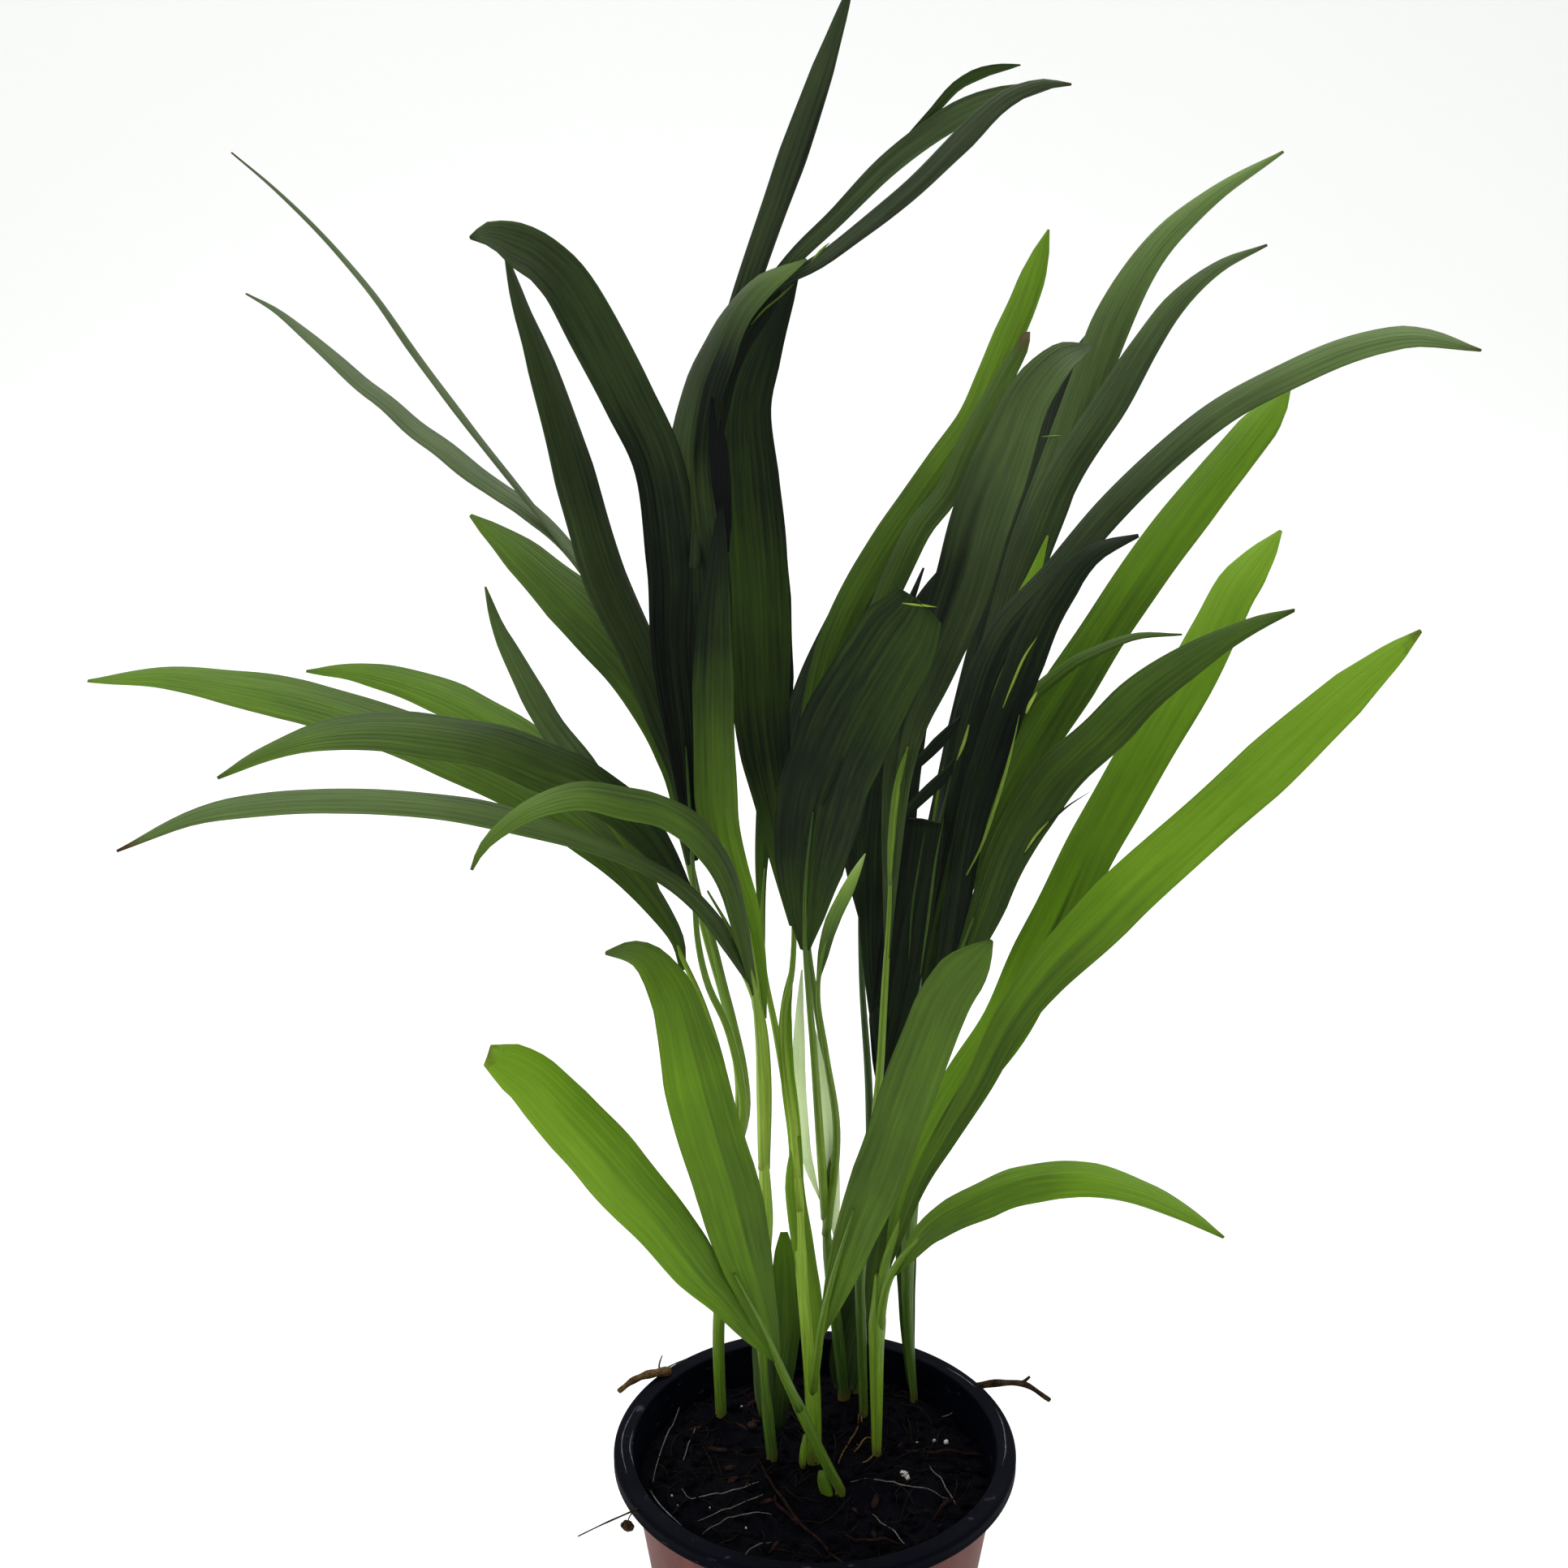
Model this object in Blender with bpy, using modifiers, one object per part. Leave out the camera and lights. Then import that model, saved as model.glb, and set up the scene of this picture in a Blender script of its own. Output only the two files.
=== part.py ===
"""Potted areca palm: a tuft of young palms with strap leaves in a small nursery pot.

Metres, +Z up. The origin is under the middle of the pot's flat base, and the front looks towards -Y.
Each young palm is one solid: a stem, its leaf stalks, and the lobes of its leaves.
"""

from collections import namedtuple
import math

import bmesh
import bpy
import numpy as np

MM = 0.001

# Pot: a thin nursery pot sold as 12 cm, measured over its rolled rim
POT_HEIGHT = 105 * MM
RIM_RADIUS = 60 * MM
RIM_SKIRT = 4.5 * MM
RIM_GAP = 3.2 * MM
BASE_RADIUS = 40 * MM
BASE_ROUNDING = 1 * MM
WALL = 1.3 * MM
FLOOR = 1.6 * MM
DRAIN_HOLES = 6
DRAIN_RADIUS = 3.5 * MM
DRAIN_RING = 27 * MM
POT_STEPS = 56

# Soil: it fills the pot, and each stem stands in a plain hole of its own
SOIL_BELOW_RIM = 10 * MM
SOIL_EDGE_DIP = 2 * MM
SOIL_EDGE = 9 * MM
ROOT_DEPTH = 14 * MM
COLLAR = 2 * MM
GAP = 0.3 * MM
HOLE_SIDES = 16

# Leaves
BLADE = 0.8 * MM
RIDGE = 0.1
ROW_LENGTH = 14 * MM
STALK_STEP = 22 * MM
STALK_RESOLUTION = 1
CURVE_SAMPLES = 24
WELD = 0.01 * MM
STALK_RADII = (1.7 * MM, 1.0 * MM)

# Half width of a lobe along its length, as shares of its greatest half width
OUTLINES = {
    "pointed": (
        (0, 0.12), (0.1, 0.42), (0.25, 0.8), (0.45, 1), (0.68, 0.95), (0.84, 0.66), (0.95, 0.3), (1, 0.07)
    ),
    "late": (
        (0, 0.12), (0.1, 0.42), (0.25, 0.8), (0.45, 1), (0.84, 0.97), (0.93, 0.84), (0.97, 0.5), (1, 0.07)
    ),
    "joined": (
        (0, 0.1), (0.15, 0.3), (0.35, 0.58), (0.58, 1), (0.76, 1), (0.88, 0.76), (0.95, 0.42), (1, 0.07)
    ),
    "blunt": (
        (0, 0.1), (0.1, 0.3), (0.2, 0.48), (0.36, 0.77), (0.58, 0.97), (0.8, 1), (0.9, 0.87), (0.96, 0.68),
        (1, 0.32),
    ),
    "folded": (
        (0, 0.12), (0.1, 0.42), (0.25, 0.8), (0.45, 1), (0.8, 1), (0.92, 0.92), (1, 0.6)
    ),
    "spear": (
        (0, 0.4), (0.2, 0.6), (0.5, 0.85), (0.7, 1), (0.85, 0.8), (0.95, 0.4), (1, 0.1)
    ),
    "based": (
        (0, 0.3), (0.06, 0.45), (0.25, 0.82), (0.45, 1), (0.68, 0.95), (0.84, 0.66), (0.95, 0.3), (1, 0.07)
    ),
    "early": (
        (0, 0.3), (0.05, 0.5), (0.12, 0.66), (0.22, 0.66), (0.35, 0.62), (0.58, 1), (0.76, 1), (0.88, 0.76),
        (0.95, 0.42), (1, 0.07),
    ),
    "cut": (
        (0, 0.12), (0.1, 0.42), (0.25, 0.8), (0.45, 1), (0.8, 1), (1, 0.95)
    ),
    "long": (
        (0, 0.1), (0.15, 0.3), (0.35, 0.58), (0.58, 1), (0.8, 1), (0.91, 0.8), (0.97, 0.42), (1, 0.07)
    ),
    "sheath": (
        (0, 0.6), (0.15, 0.9), (0.5, 1), (0.78, 0.9), (0.92, 0.6), (1, 0.25)
    ),
}

# The photograph's view, worked out from the ellipse of the pot's rim. The stems and leaves below
# are read in its pixels, with how far each point stands in front of the pot's middle, in mm
FOCAL_PX = 2600
CENTRE_PX = 966
LOOKS_DOWN = math.radians(18.4)
EYE = np.array([-9.2 * MM, -537 * MM, POT_HEIGHT + 386 * MM])
AHEAD = np.array([0, math.cos(LOOKS_DOWN), -math.sin(LOOKS_DOWN)])
ABOVE = np.array([0, math.sin(LOOKS_DOWN), math.cos(LOOKS_DOWN)])
RIGHT = np.array([1.0, 0, 0])

Seedling = namedtuple("Seedling", "foot radii stem fronds")
Frond = namedtuple("Frond", "stalk lobes")
Lobe = namedtuple("Lobe", "width turn spine outline", defaults=["pointed"])

# A foot is where the stem enters the soil. A lobe's width is in mm, and its turn, from root to tip,
# is in degrees about its spine, from lying square to the view: the upper edge of a lobe that points
# left, and the lower edge of one that points right, goes back when the turn is positive
SEEDLINGS = {
    "seedling_front": Seedling(
        foot=(1035, 1842),
        radii=(1.4, 1.5),
        stem=((1012, 1792, 14), (985, 1735, 19), (964, 1690, 24)),
        fronds=(
            Frond(
                stalk=((985, 1735, 19), (964, 1690, 24), (940, 1635, 31), (905, 1570, 41)),
                lobes=(
                    Lobe(18, (10, 30), (
                        (958, 1677, 26), (925, 1641, 32), (894, 1602, 38), (867, 1572, 44),
                        (840, 1537, 50), (813, 1503, 54), (774, 1460, 60), (734, 1414, 66),
                        (693, 1371, 71), (648, 1326, 75), (600, 1300, 77),
                    ), "blunt"),
                    Lobe(18.5, (10, 30), (
                        (958, 1677, 26), (936, 1605, 33), (915, 1533, 40), (897, 1466, 47),
                        (872, 1388, 53), (850, 1305, 57), (834, 1243, 60), (824, 1218, 61),
                        (811, 1195, 60), (797, 1179, 57), (775, 1171, 52), (747, 1174, 46),
                    )),
                ),
            ),
        ),
    ),
    "seedling_left": Seedling(
        foot=(888, 1745),
        radii=(1.6, 1.8),
        stem=((885, 1640, -27), (892, 1540, -27), (897, 1440, -27), (897, 1350, -27)),
        fronds=(
            Frond(
                stalk=(
                    (897, 1440, -27), (893, 1340, -27), (868, 1245, -26), (838, 1175, -24),
                    (803, 1105, -22),
                ),
                lobes=(
                    Lobe(19.5, (35, 55), (
                        (842, 1195, -25), (830, 1148, -24), (772, 1072, -21), (693, 1005, -19), (612, 955, -19),
                        (530, 917, -20), (451, 888, -24), (370, 864, -29), (290, 847, -35),
                        (200, 834, -42), (109, 839, -50),
                    )),
                    Lobe(16.5, (35, 50), (
                        (830, 1155, -24), (782, 1067, -24), (717, 988, -30), (653, 922, -38),
                        (585, 877, -46), (515, 846, -54), (440, 828, -61), (378, 827, -66),
                    )),
                ),
            ),
            Frond(
                stalk=(
                    (897, 1440, -27), (915, 1380, -27), (911, 1325, -26), (896, 1265, -25),
                    (873, 1215, -23), (860, 1160, -21), (855, 1090, -19), (850, 1000, -15),
                    (845, 920, -12),
                ),
                lobes=(
                    Lobe(15, (15, 35), (
                        (855, 1060, -18), (843, 920, -12), (830, 800, -8), (829, 691, -4),
                        (812, 575, 2), (775, 492, 9), (729, 404, 18), (697, 351, 26), (664, 318, 34),
                        (635, 303, 40), (607, 292, 45), (580, 293, 50),
                    ), "late"),
                    Lobe(18.6, (5, -74), (
                        (855, 1060, -18), (869, 920, -14), (867, 800, -11), (861, 680, -8),
                        (854, 570, -5), (866, 490, -2), (885, 440, 1), (909, 391, 4), (941, 353, 6),
                        (994, 320, 7),
                    ), "late"),
                    Lobe(6.5, (0, 20), (
                        (915, 396, 1), (947, 355, 2), (985, 311, 2), (1029, 269, 2), (1091, 206, -1),
                        (1153, 158, -5), (1204, 129, -9), (1258, 113, -13), (1307, 103, -16),
                    ), "spear"),
                    Lobe(5.8, (0, -30), (
                        (930, 374, 3), (962, 347, 5), (1006, 324, 7), (1050, 292, 9), (1120, 236, 11),
                        (1178, 180, 12), (1233, 127, 12), (1279, 105, 11), (1320, 104, 10),
                    ), "spear"),
                    Lobe(3.3, (0, 40), (
                        (1110, 180, -3), (1150, 137, -8), (1180, 105, -14), (1215, 88, -20),
                        (1257, 80, -26),
                    ), "spear"),
                    Lobe(7.5, (0, 10), (
                        (856, 700, -4), (867, 560, -9), (893, 440, -13), (932, 319, -18),
                        (987, 163, -24), (1023, 59, -28), (1051, -24, -31),
                    ), "spear"),
                ),
            ),
            Frond(
                stalk=(
                    (897, 1440, -28), (917, 1375, -31), (915, 1320, -33), (903, 1262, -35),
                    (890, 1210, -36), (878, 1160, -37), (860, 1100, -38), (846, 1030, -39),
                    (832, 960, -40),
                ),
                lobes=(
                    Lobe(18, (10, 25), (
                        (850, 1065, -38), (839, 935, -42), (794, 841, -50), (734, 771, -58),
                        (679, 718, -66), (631, 674, -74), (580, 635, -82),
                    )),
                    Lobe(15, (35, 42), (
                        (850, 1065, -38), (839, 950, -30), (813, 870, -24), (786, 800, -20),
                        (760, 745, -17), (741, 700, -15), (717, 618, -13), (689, 520, -11),
                        (660, 430, -10), (644, 386, -10), (631, 343, -12), (623, 313, -13),
                    )),
                ),
            ),
            Frond(
                stalk=(
                    (897, 1430, -29), (911, 1365, -34), (907, 1300, -39), (893, 1235, -44),
                    (869, 1150, -49), (845, 1050, -56), (815, 930, -66), (772, 790, -78),
                    (735, 715, -86),
                ),
                lobes=(
                    Lobe(10, (42, 62), (
                        (755, 760, -80), (701, 677, -90), (651, 630, -97), (616, 606, -101),
                        (581, 582, -104), (546, 553, -108), (511, 528, -111), (478, 498, -114),
                        (444, 472, -117), (410, 441, -120), (373, 409, -123), (339, 382, -126),
                        (303, 362, -128),
                    )),
                    Lobe(5, (58, 70), (
                        (755, 760, -80), (690, 668, -90), (634, 597, -95), (578, 526, -98),
                        (512, 438, -101), (466, 372, -102), (427, 324, -104), (385, 278, -105),
                        (335, 230, -107), (285, 188, -108),
                    )),
                ),
            ),
        ),
    ),
    "seedling_mid_left": Seedling(
        foot=(951, 1797),
        radii=(1.8, 2.5),
        stem=((942, 1700, -7), (937, 1600, -8), (943, 1500, -8), (940, 1400, -8)),
        fronds=(
            Frond(
                stalk=(
                    (941, 1440, -8), (938, 1340, -6), (934, 1265, 1), (926, 1205, 9),
                    (902, 1150, 20), (872, 1098, 30),
                ),
                lobes=(
                    Lobe(11, (56, 35), (
                        (930, 1222, 6), (914, 1149, 18), (895, 1082, 30), (861, 1031, 44),
                        (815, 1001, 60), (765, 989, 76), (712, 982, 90), (657, 997, 102),
                        (618, 1022, 108), (594, 1046, 112), (581, 1072, 115),
                    ), "based"),
                    Lobe(11, (50, 60), (
                        (927, 1210, 8), (898, 1162, 19), (859, 1113, 30), (812, 1077, 39),
                        (741, 1044, 52), (661, 1019, 64), (591, 1002, 73), (510, 991, 82),
                        (420, 987, 91), (330, 991, 99), (239, 1007, 106), (144, 1049, 112),
                    ), "early"),
                ),
            ),
            Frond(
                stalk=(
                    (941, 1440, -8), (944, 1340, -9), (938, 1260, -6), (918, 1200, -1), (880, 1145, 6),
                    (838, 1085, 14), (790, 1028, 22),
                ),
                lobes=(
                    Lobe(9, (25, 40), (
                        (855, 1110, 11), (800, 1045, 12), (751, 995, 10), (720, 949, 6),
                        (678, 893, 0), (645, 834, -6), (614, 773, -12), (598, 723, -16),
                    )),
                    Lobe(17, (30, 58), (
                        (855, 1110, 11), (797, 1024, 24), (731, 972, 34), (663, 942, 42),
                        (599, 919, 50), (530, 907, 57), (460, 902, 64), (390, 909, 71),
                        (325, 930, 77), (268, 959, 82),
                    )),
                ),
            ),
            Frond(
                stalk=(
                    (941, 1430, -9), (938, 1340, -10), (936, 1260, -12), (930, 1200, -14),
                    (921, 1145, -14), (904, 1090, -13), (889, 1030, -11),
                ),
                lobes=(
                    Lobe(12, (-10, -20), (
                        (937, 1255, -12), (932, 1195, -14), (919, 1130, -14), (901, 1074, -12), (885, 1010, -9),
                        (881, 945, -5), (879, 870, -1), (880, 790, 2), (884, 710, 5), (889, 620, 8),
                    ), "based"),
                    Lobe(9, (0, 0), (
                        (955, 1762, -8), (960, 1700, -9), (968, 1640, -10), (968, 1590, -11),
                        (967, 1555, -11), (966, 1518, -11),
                    ), "sheath"),
                    Lobe(6.5, (0, 0), (
                        (944, 1745, -6), (941, 1700, -6), (940, 1650, -7), (941, 1590, -8),
                    ), "sheath"),
                ),
            ),
        ),
    ),
    "seedling_centre": Seedling(
        foot=(1003, 1800),
        radii=(2.1, 2.3),
        stem=((1001, 1715, -4), (996, 1640, -4), (988, 1540, -4), (983, 1450, -4)),
        fronds=(
            Frond(
                stalk=(
                    (985, 1490, -4), (978, 1390, -6), (968, 1310, -10), (966, 1250, -13),
                    (976, 1195, -15), (978, 1130, -18), (970, 1050, -23), (958, 970, -28),
                ),
                lobes=(
                    Lobe(18.5, (15, 10), (
                        (977, 1140, -17), (959, 1020, -25), (940, 901, -34), (936, 790, -41),
                        (931, 681, -47), (922, 580, -52), (920, 500, -55), (940, 432, -58),
                        (965, 371, -61), (985, 325, -64),
                    )),
                    Lobe(13, (10, 20), (
                        (977, 1140, -17), (967, 1080, -28), (971, 1000, -44), (986, 910, -62),
                        (1025, 800, -86), (1079, 704, -106), (1133, 630, -125),
                    )),
                    Lobe(4.2, (0, 0), (
                        (984, 1490, -4), (979, 1400, -6), (970, 1320, -10), (968, 1250, -13),
                        (975, 1195, -15),
                    ), "sheath"),
                ),
            ),
            Frond(
                stalk=(
                    (1001, 1715, -4), (1006, 1680, 3), (1014, 1625, 14), (1030, 1560, 24),
                    (1052, 1490, 33),
                ),
                lobes=(
                    Lobe(14, (-15, 5), (
                        (1012, 1645, 10), (1033, 1581, 21), (1056, 1515, 31), (1086, 1438, 41),
                        (1118, 1347, 51), (1143, 1282, 58), (1161, 1238, 62), (1180, 1207, 65),
                        (1200, 1184, 67), (1222, 1159, 69),
                    ), "late"),
                    Lobe(6.5, (0, 0), (
                        (1002, 1690, -3), (1002, 1620, -3), (990, 1540, -3), (979, 1460, -4),
                        (983, 1400, -5),
                    ), "sheath"),
                ),
            ),
            Frond(
                stalk=(
                    (981, 1440, -5), (973, 1368, -10), (957, 1275, -20), (942, 1197, -30),
                    (939, 1130, -38), (942, 1070, -46),
                ),
                lobes=(
                    Lobe(12, (-10, -20), (
                        (940, 1165, -34), (938, 1070, -47), (947, 960, -64), (955, 850, -82),
                        (952, 760, -96), (952, 680, -108), (958, 610, -119),
                    ), "joined"),
                ),
            ),
        ),
    ),
    "seedling_inner_right": Seedling(
        foot=(1040, 1722),
        radii=(2.2, 1.8),
        stem=((1032, 1640, -35), (1022, 1560, -31), (1016, 1480, -27)),
        fronds=(
            Frond(
                stalk=(
                    (1017, 1500, -28), (1010, 1400, -18), (1003, 1300, -8), (997, 1230, 0),
                    (992, 1160, 8), (993, 1080, 18), (1002, 1000, 28),
                ),
                lobes=(
                    Lobe(23.5, (-5, -25), (
                        (992, 1170, 7), (995, 1080, 19), (1010, 990, 32), (1036, 915, 44),
                        (1070, 850, 54), (1098, 802, 60), (1120, 770, 63), (1133, 746, 65),
                    ), "folded"),
                    Lobe(5, (-30, -60), (
                        (1010, 990, 30), (1046, 905, 42), (1080, 830, 50), (1110, 771, 56),
                        (1138, 700, 61),
                    ), "spear"),
                ),
            ),
            Frond(
                stalk=(
                    (1017, 1490, -28), (1023, 1400, -27), (1015, 1300, -26), (1003, 1220, -26),
                    (993, 1140, -27), (988, 1050, -32), (990, 950, -38),
                ),
                lobes=(
                    Lobe(10, (-10, -30), (
                        (990, 1090, -29), (990, 960, -37), (1001, 890, -41), (1020, 810, -44),
                        (1050, 740, -47), (1091, 670, -51), (1126, 620, -55), (1162, 569, -58),
                        (1197, 519, -63), (1220, 467, -68), (1242, 415, -73), (1264, 364, -78),
                        (1292, 283, -84),
                    ), "late"),
                    Lobe(10.5, (-35, -52), (
                        (991, 1084, -30), (1008, 960, -31), (1037, 870, -32), (1077, 771, -33),
                        (1110, 696, -36), (1134, 649, -40), (1167, 607, -45), (1187, 562, -50),
                        (1211, 516, -54), (1237, 465, -60), (1258, 428, -64), (1264, 411, -67),
                    ), "blunt"),
                ),
            ),
            Frond(
                stalk=(
                    (1018, 1520, -28), (1031, 1400, -22), (1018, 1300, -16), (1008, 1225, -12),
                    (1018, 1160, -12), (1040, 1105, -12),
                ),
                lobes=(
                    Lobe(4.4, (-20, -20), (
                        (1006, 1215, -12), (1022, 1145, -12), (1045, 1095, -11), (1066, 1052, -10),
                    )),
                    Lobe(11.5, (0, 0), (
                        (1040, 1712, -35), (1043, 1675, -35), (1050, 1635, -35), (1059, 1595, -34),
                        (1064, 1555, -34),
                    ), "sheath"),
                ),
            ),
        ),
    ),
    "seedling_right": Seedling(
        foot=(1080, 1790),
        radii=(1.4, 2.6),
        stem=((1080, 1715, -6), (1080, 1640, -5), (1082, 1570, -4)),
        fronds=(
            Frond(
                stalk=(
                    (1083, 1620, -5), (1092, 1555, -3), (1120, 1485, 2), (1155, 1415, 6),
                    (1192, 1345, 9),
                ),
                lobes=(
                    Lobe(16.5, (-20, -35), (
                        (1092, 1560, -3), (1115, 1470, 2), (1147, 1401, 5), (1189, 1332, 8),
                        (1237, 1265, 8), (1273, 1192, 7), (1305, 1129, 5), (1340, 1053, 2),
                        (1376, 989, -3), (1421, 909, -10), (1469, 830, -18), (1500, 770, -25),
                        (1527, 719, -31), (1578, 654, -38),
                    ), "late"),
                    Lobe(16.5, (-20, -38), (
                        (1092, 1565, -4), (1130, 1465, 6), (1166, 1401, 11), (1205, 1335, 17),
                        (1243, 1262, 22), (1290, 1199, 27), (1347, 1141, 32), (1401, 1088, 36),
                        (1481, 1017, 42), (1561, 945, 47), (1637, 876, 52), (1698, 822, 56),
                        (1751, 777, 58),
                    ), "long"),
                ),
            ),
            Frond(
                stalk=(
                    (1083, 1640, -5), (1094, 1580, 2), (1120, 1540, 8), (1160, 1505, 14),
                    (1200, 1484, 20),
                ),
                lobes=(
                    Lobe(15.5, (-40, -55), (
                        (1098, 1572, 3), (1145, 1515, 12), (1206, 1481, 24), (1270, 1459, 36),
                        (1340, 1455, 48), (1404, 1470, 58), (1459, 1495, 66), (1508, 1525, 72),
                    )),
                ),
            ),
            Frond(
                stalk=(
                    (1088, 1590, -5), (1098, 1500, -12), (1118, 1400, -12), (1142, 1300, -6),
                    (1170, 1210, 2), (1200, 1130, 10),
                ),
                lobes=(
                    Lobe(15, (-25, -45), (
                        (1165, 1240, 0), (1211, 1130, 9), (1245, 1044, 18), (1295, 966, 27),
                        (1359, 904, 36), (1416, 849, 44), (1481, 805, 52), (1542, 772, 59),
                        (1595, 752, 65),
                    )),
                    Lobe(13, (-20, -45), (
                        (1160, 1240, 0), (1178, 1120, 2), (1197, 1010, 3), (1224, 920, 4),
                        (1254, 839, 5), (1281, 772, 6), (1312, 721, 8), (1330, 698, 9),
                        (1350, 681, 10), (1371, 671, 11), (1403, 660, 12),
                    ), "spear"),
                    Lobe(6.5, (0, 0), (
                        (1081, 1660, -6), (1079, 1580, -5), (1087, 1520, -4), (1098, 1450, -2),
                    ), "sheath"),
                ),
            ),
        ),
    ),
    "seedling_far_right": Seedling(
        foot=(1126, 1726),
        radii=(1.1, 2.9),
        stem=((1120, 1650, -38), (1118, 1570, -38), (1122, 1470, -39), (1128, 1390, -40)),
        fronds=(
            Frond(
                stalk=(
                    (1124, 1440, -39), (1136, 1330, -42), (1152, 1220, -46), (1170, 1130, -50),
                    (1192, 1050, -54),
                ),
                lobes=(
                    Lobe(17, (-20, -40), (
                        (1160, 1185, -47), (1189, 1080, -53), (1230, 991, -58), (1273, 916, -64),
                        (1320, 841, -70), (1373, 759, -77), (1423, 686, -84), (1472, 622, -91),
                        (1525, 557, -98), (1589, 478, -106),
                    ), "late"),
                    Lobe(6, (-30, -60), (
                        (1160, 1185, -47), (1190, 1060, -40), (1225, 950, -34), (1262, 870, -30),
                        (1312, 824, -28), (1352, 802, -28), (1400, 784, -30), (1456, 782, -34),
                    ), "spear"),
                ),
            ),
            Frond(
                stalk=(
                    (1126, 1420, -40), (1128, 1300, -35), (1132, 1190, -28), (1143, 1080, -21),
                    (1167, 980, -18), (1189, 890, -15),
                ),
                lobes=(
                    Lobe(11, (-30, -55), (
                        (1130, 1225, -31), (1146, 1110, -24), (1168, 1000, -19), (1194, 885, -14),
                        (1234, 783, -10), (1300, 708, -6), (1367, 630, -1), (1437, 562, 11),
                        (1508, 506, 25), (1590, 462, 38), (1670, 429, 48), (1745, 416, 57),
                        (1825, 432, 65),
                    ), "late"),
                    Lobe(8, (-20, -30), (
                        (1140, 1100, -22), (1162, 1000, -26), (1192, 900, -31), (1235, 800, -38),
                        (1269, 722, -44), (1291, 660, -50),
                    )),
                    Lobe(12, (-5, -15), (
                        (1129, 1300, -37), (1136, 1230, -37), (1149, 1150, -38), (1168, 1080, -40),
                        (1187, 1010, -44), (1203, 940, -48), (1222, 880, -52),
                    )),
                    Lobe(6.5, (0, 0), (
                        (1124, 1710, -38), (1119, 1650, -38), (1117, 1590, -38), (1117, 1530, -38),
                        (1124, 1470, -39),
                    ), "spear"),
                ),
            ),
        ),
    ),
    "seedling_back": Seedling(
        foot=(1064, 1745),
        radii=(1.4, 1.8),
        stem=((1062, 1660, -25), (1060, 1570, -22), (1066, 1480, -18)),
        fronds=(
            Frond(
                stalk=(
                    (1065, 1500, -19), (1076, 1400, -14), (1084, 1320, -9), (1090, 1220, -3),
                    (1096, 1120, 4), (1100, 1020, 11), (1118, 920, 19),
                ),
                lobes=(
                    Lobe(15.5, (-10, -30), (
                        (1093, 1180, 0), (1097, 1080, 7), (1102, 990, 14), (1110, 930, 18),
                        (1123, 880, 22), (1146, 825, 27), (1183, 729, 34), (1208, 641, 39),
                        (1238, 560, 42), (1267, 489, 43), (1306, 441, 38), (1344, 425, 26),
                    ), "joined"),
                    Lobe(3.3, (0, 0), (
                        (1099, 1000, 14), (1108, 968, 13), (1122, 948, 12), (1140, 932, 11),
                        (1168, 902, 9), (1184, 882, 7),
                    ), "spear"),
                    Lobe(3.5, (0, 0), (
                        (1097, 1045, 9), (1106, 1018, 9), (1118, 1001, 8), (1132, 986, 7),
                        (1167, 952, 5), (1175, 936, 4),
                    ), "spear"),
                    Lobe(16, (10, -10), (
                        (1085, 1310, -8), (1086, 1180, -12), (1090, 1060, -18), (1101, 951, -26),
                        (1115, 851, -36), (1137, 759, -48), (1172, 689, -60),
                    )),
                    Lobe(14, (0, 0), (
                        (1085, 1345, -11), (1090, 1290, -10), (1104, 1210, -7), (1118, 1130, -3),
                        (1128, 1065, 1), (1135, 1012, 4),
                    ), "cut"),
                ),
            ),
        ),
    ),
    "seedling_far_back": Seedling(
        foot=(1052, 1715),
        radii=(2.1, 1.8),
        stem=((1056, 1600, -46), (1066, 1500, -50), (1080, 1400, -52)),
        fronds=(
            Frond(
                stalk=(
                    (1073, 1450, -51), (1092, 1330, -54), (1110, 1210, -58), (1130, 1100, -62),
                    (1154, 1000, -66), (1185, 900, -70),
                ),
                lobes=(
                    Lobe(15.5, (-15, -50), (
                        (1148, 1030, -65), (1198, 900, -71), (1235, 789, -76), (1265, 688, -81),
                        (1302, 588, -86), (1336, 490, -91), (1373, 390, -96), (1425, 305, -101),
                        (1496, 240, -106), (1581, 187, -111),
                    )),
                    Lobe(14, (-20, -50), (
                        (1148, 1030, -65), (1206, 890, -68), (1237, 774, -70), (1268, 683, -72),
                        (1308, 589, -74), (1365, 502, -76), (1410, 428, -78), (1451, 371, -80),
                        (1503, 328, -82), (1561, 302, -84),
                    )),
                    Lobe(12, (-10, -40), (
                        (1136, 1075, -63), (1150, 1020, -67), (1186, 900, -78), (1213, 800, -85),
                        (1249, 690, -91), (1284, 590, -97), (1310, 499, -102), (1329, 450, -106),
                        (1350, 400, -110),
                    ), "late"),
                ),
            ),
            Frond(
                stalk=(
                    (1073, 1450, -51), (1070, 1330, -58), (1062, 1210, -68), (1060, 1100, -80),
                    (1066, 1000, -92),
                ),
                lobes=(
                    Lobe(16, (-10, 10), (
                        (1061, 1130, -76), (1055, 1010, -92), (1058, 900, -108), (1074, 800, -124),
                        (1095, 725, -138),
                    )),
                ),
            ),
        ),
    ),
}

LEAF_GREEN = (0.10, 0.22, 0.04)
SOIL_BLACK = (0.02, 0.017, 0.015)
TERRACOTTA = (0.45, 0.18, 0.12)


def seen(px, py, near):
    """The point that shows at this pixel, on the upright plane `near` mm in front of the middle."""
    ray = AHEAD + RIGHT * (px - CENTRE_PX) / FOCAL_PX + ABOVE * (CENTRE_PX - py) / FOCAL_PX
    return EYE + ray * (-near * MM - EYE[1]) / ray[1]


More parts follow.
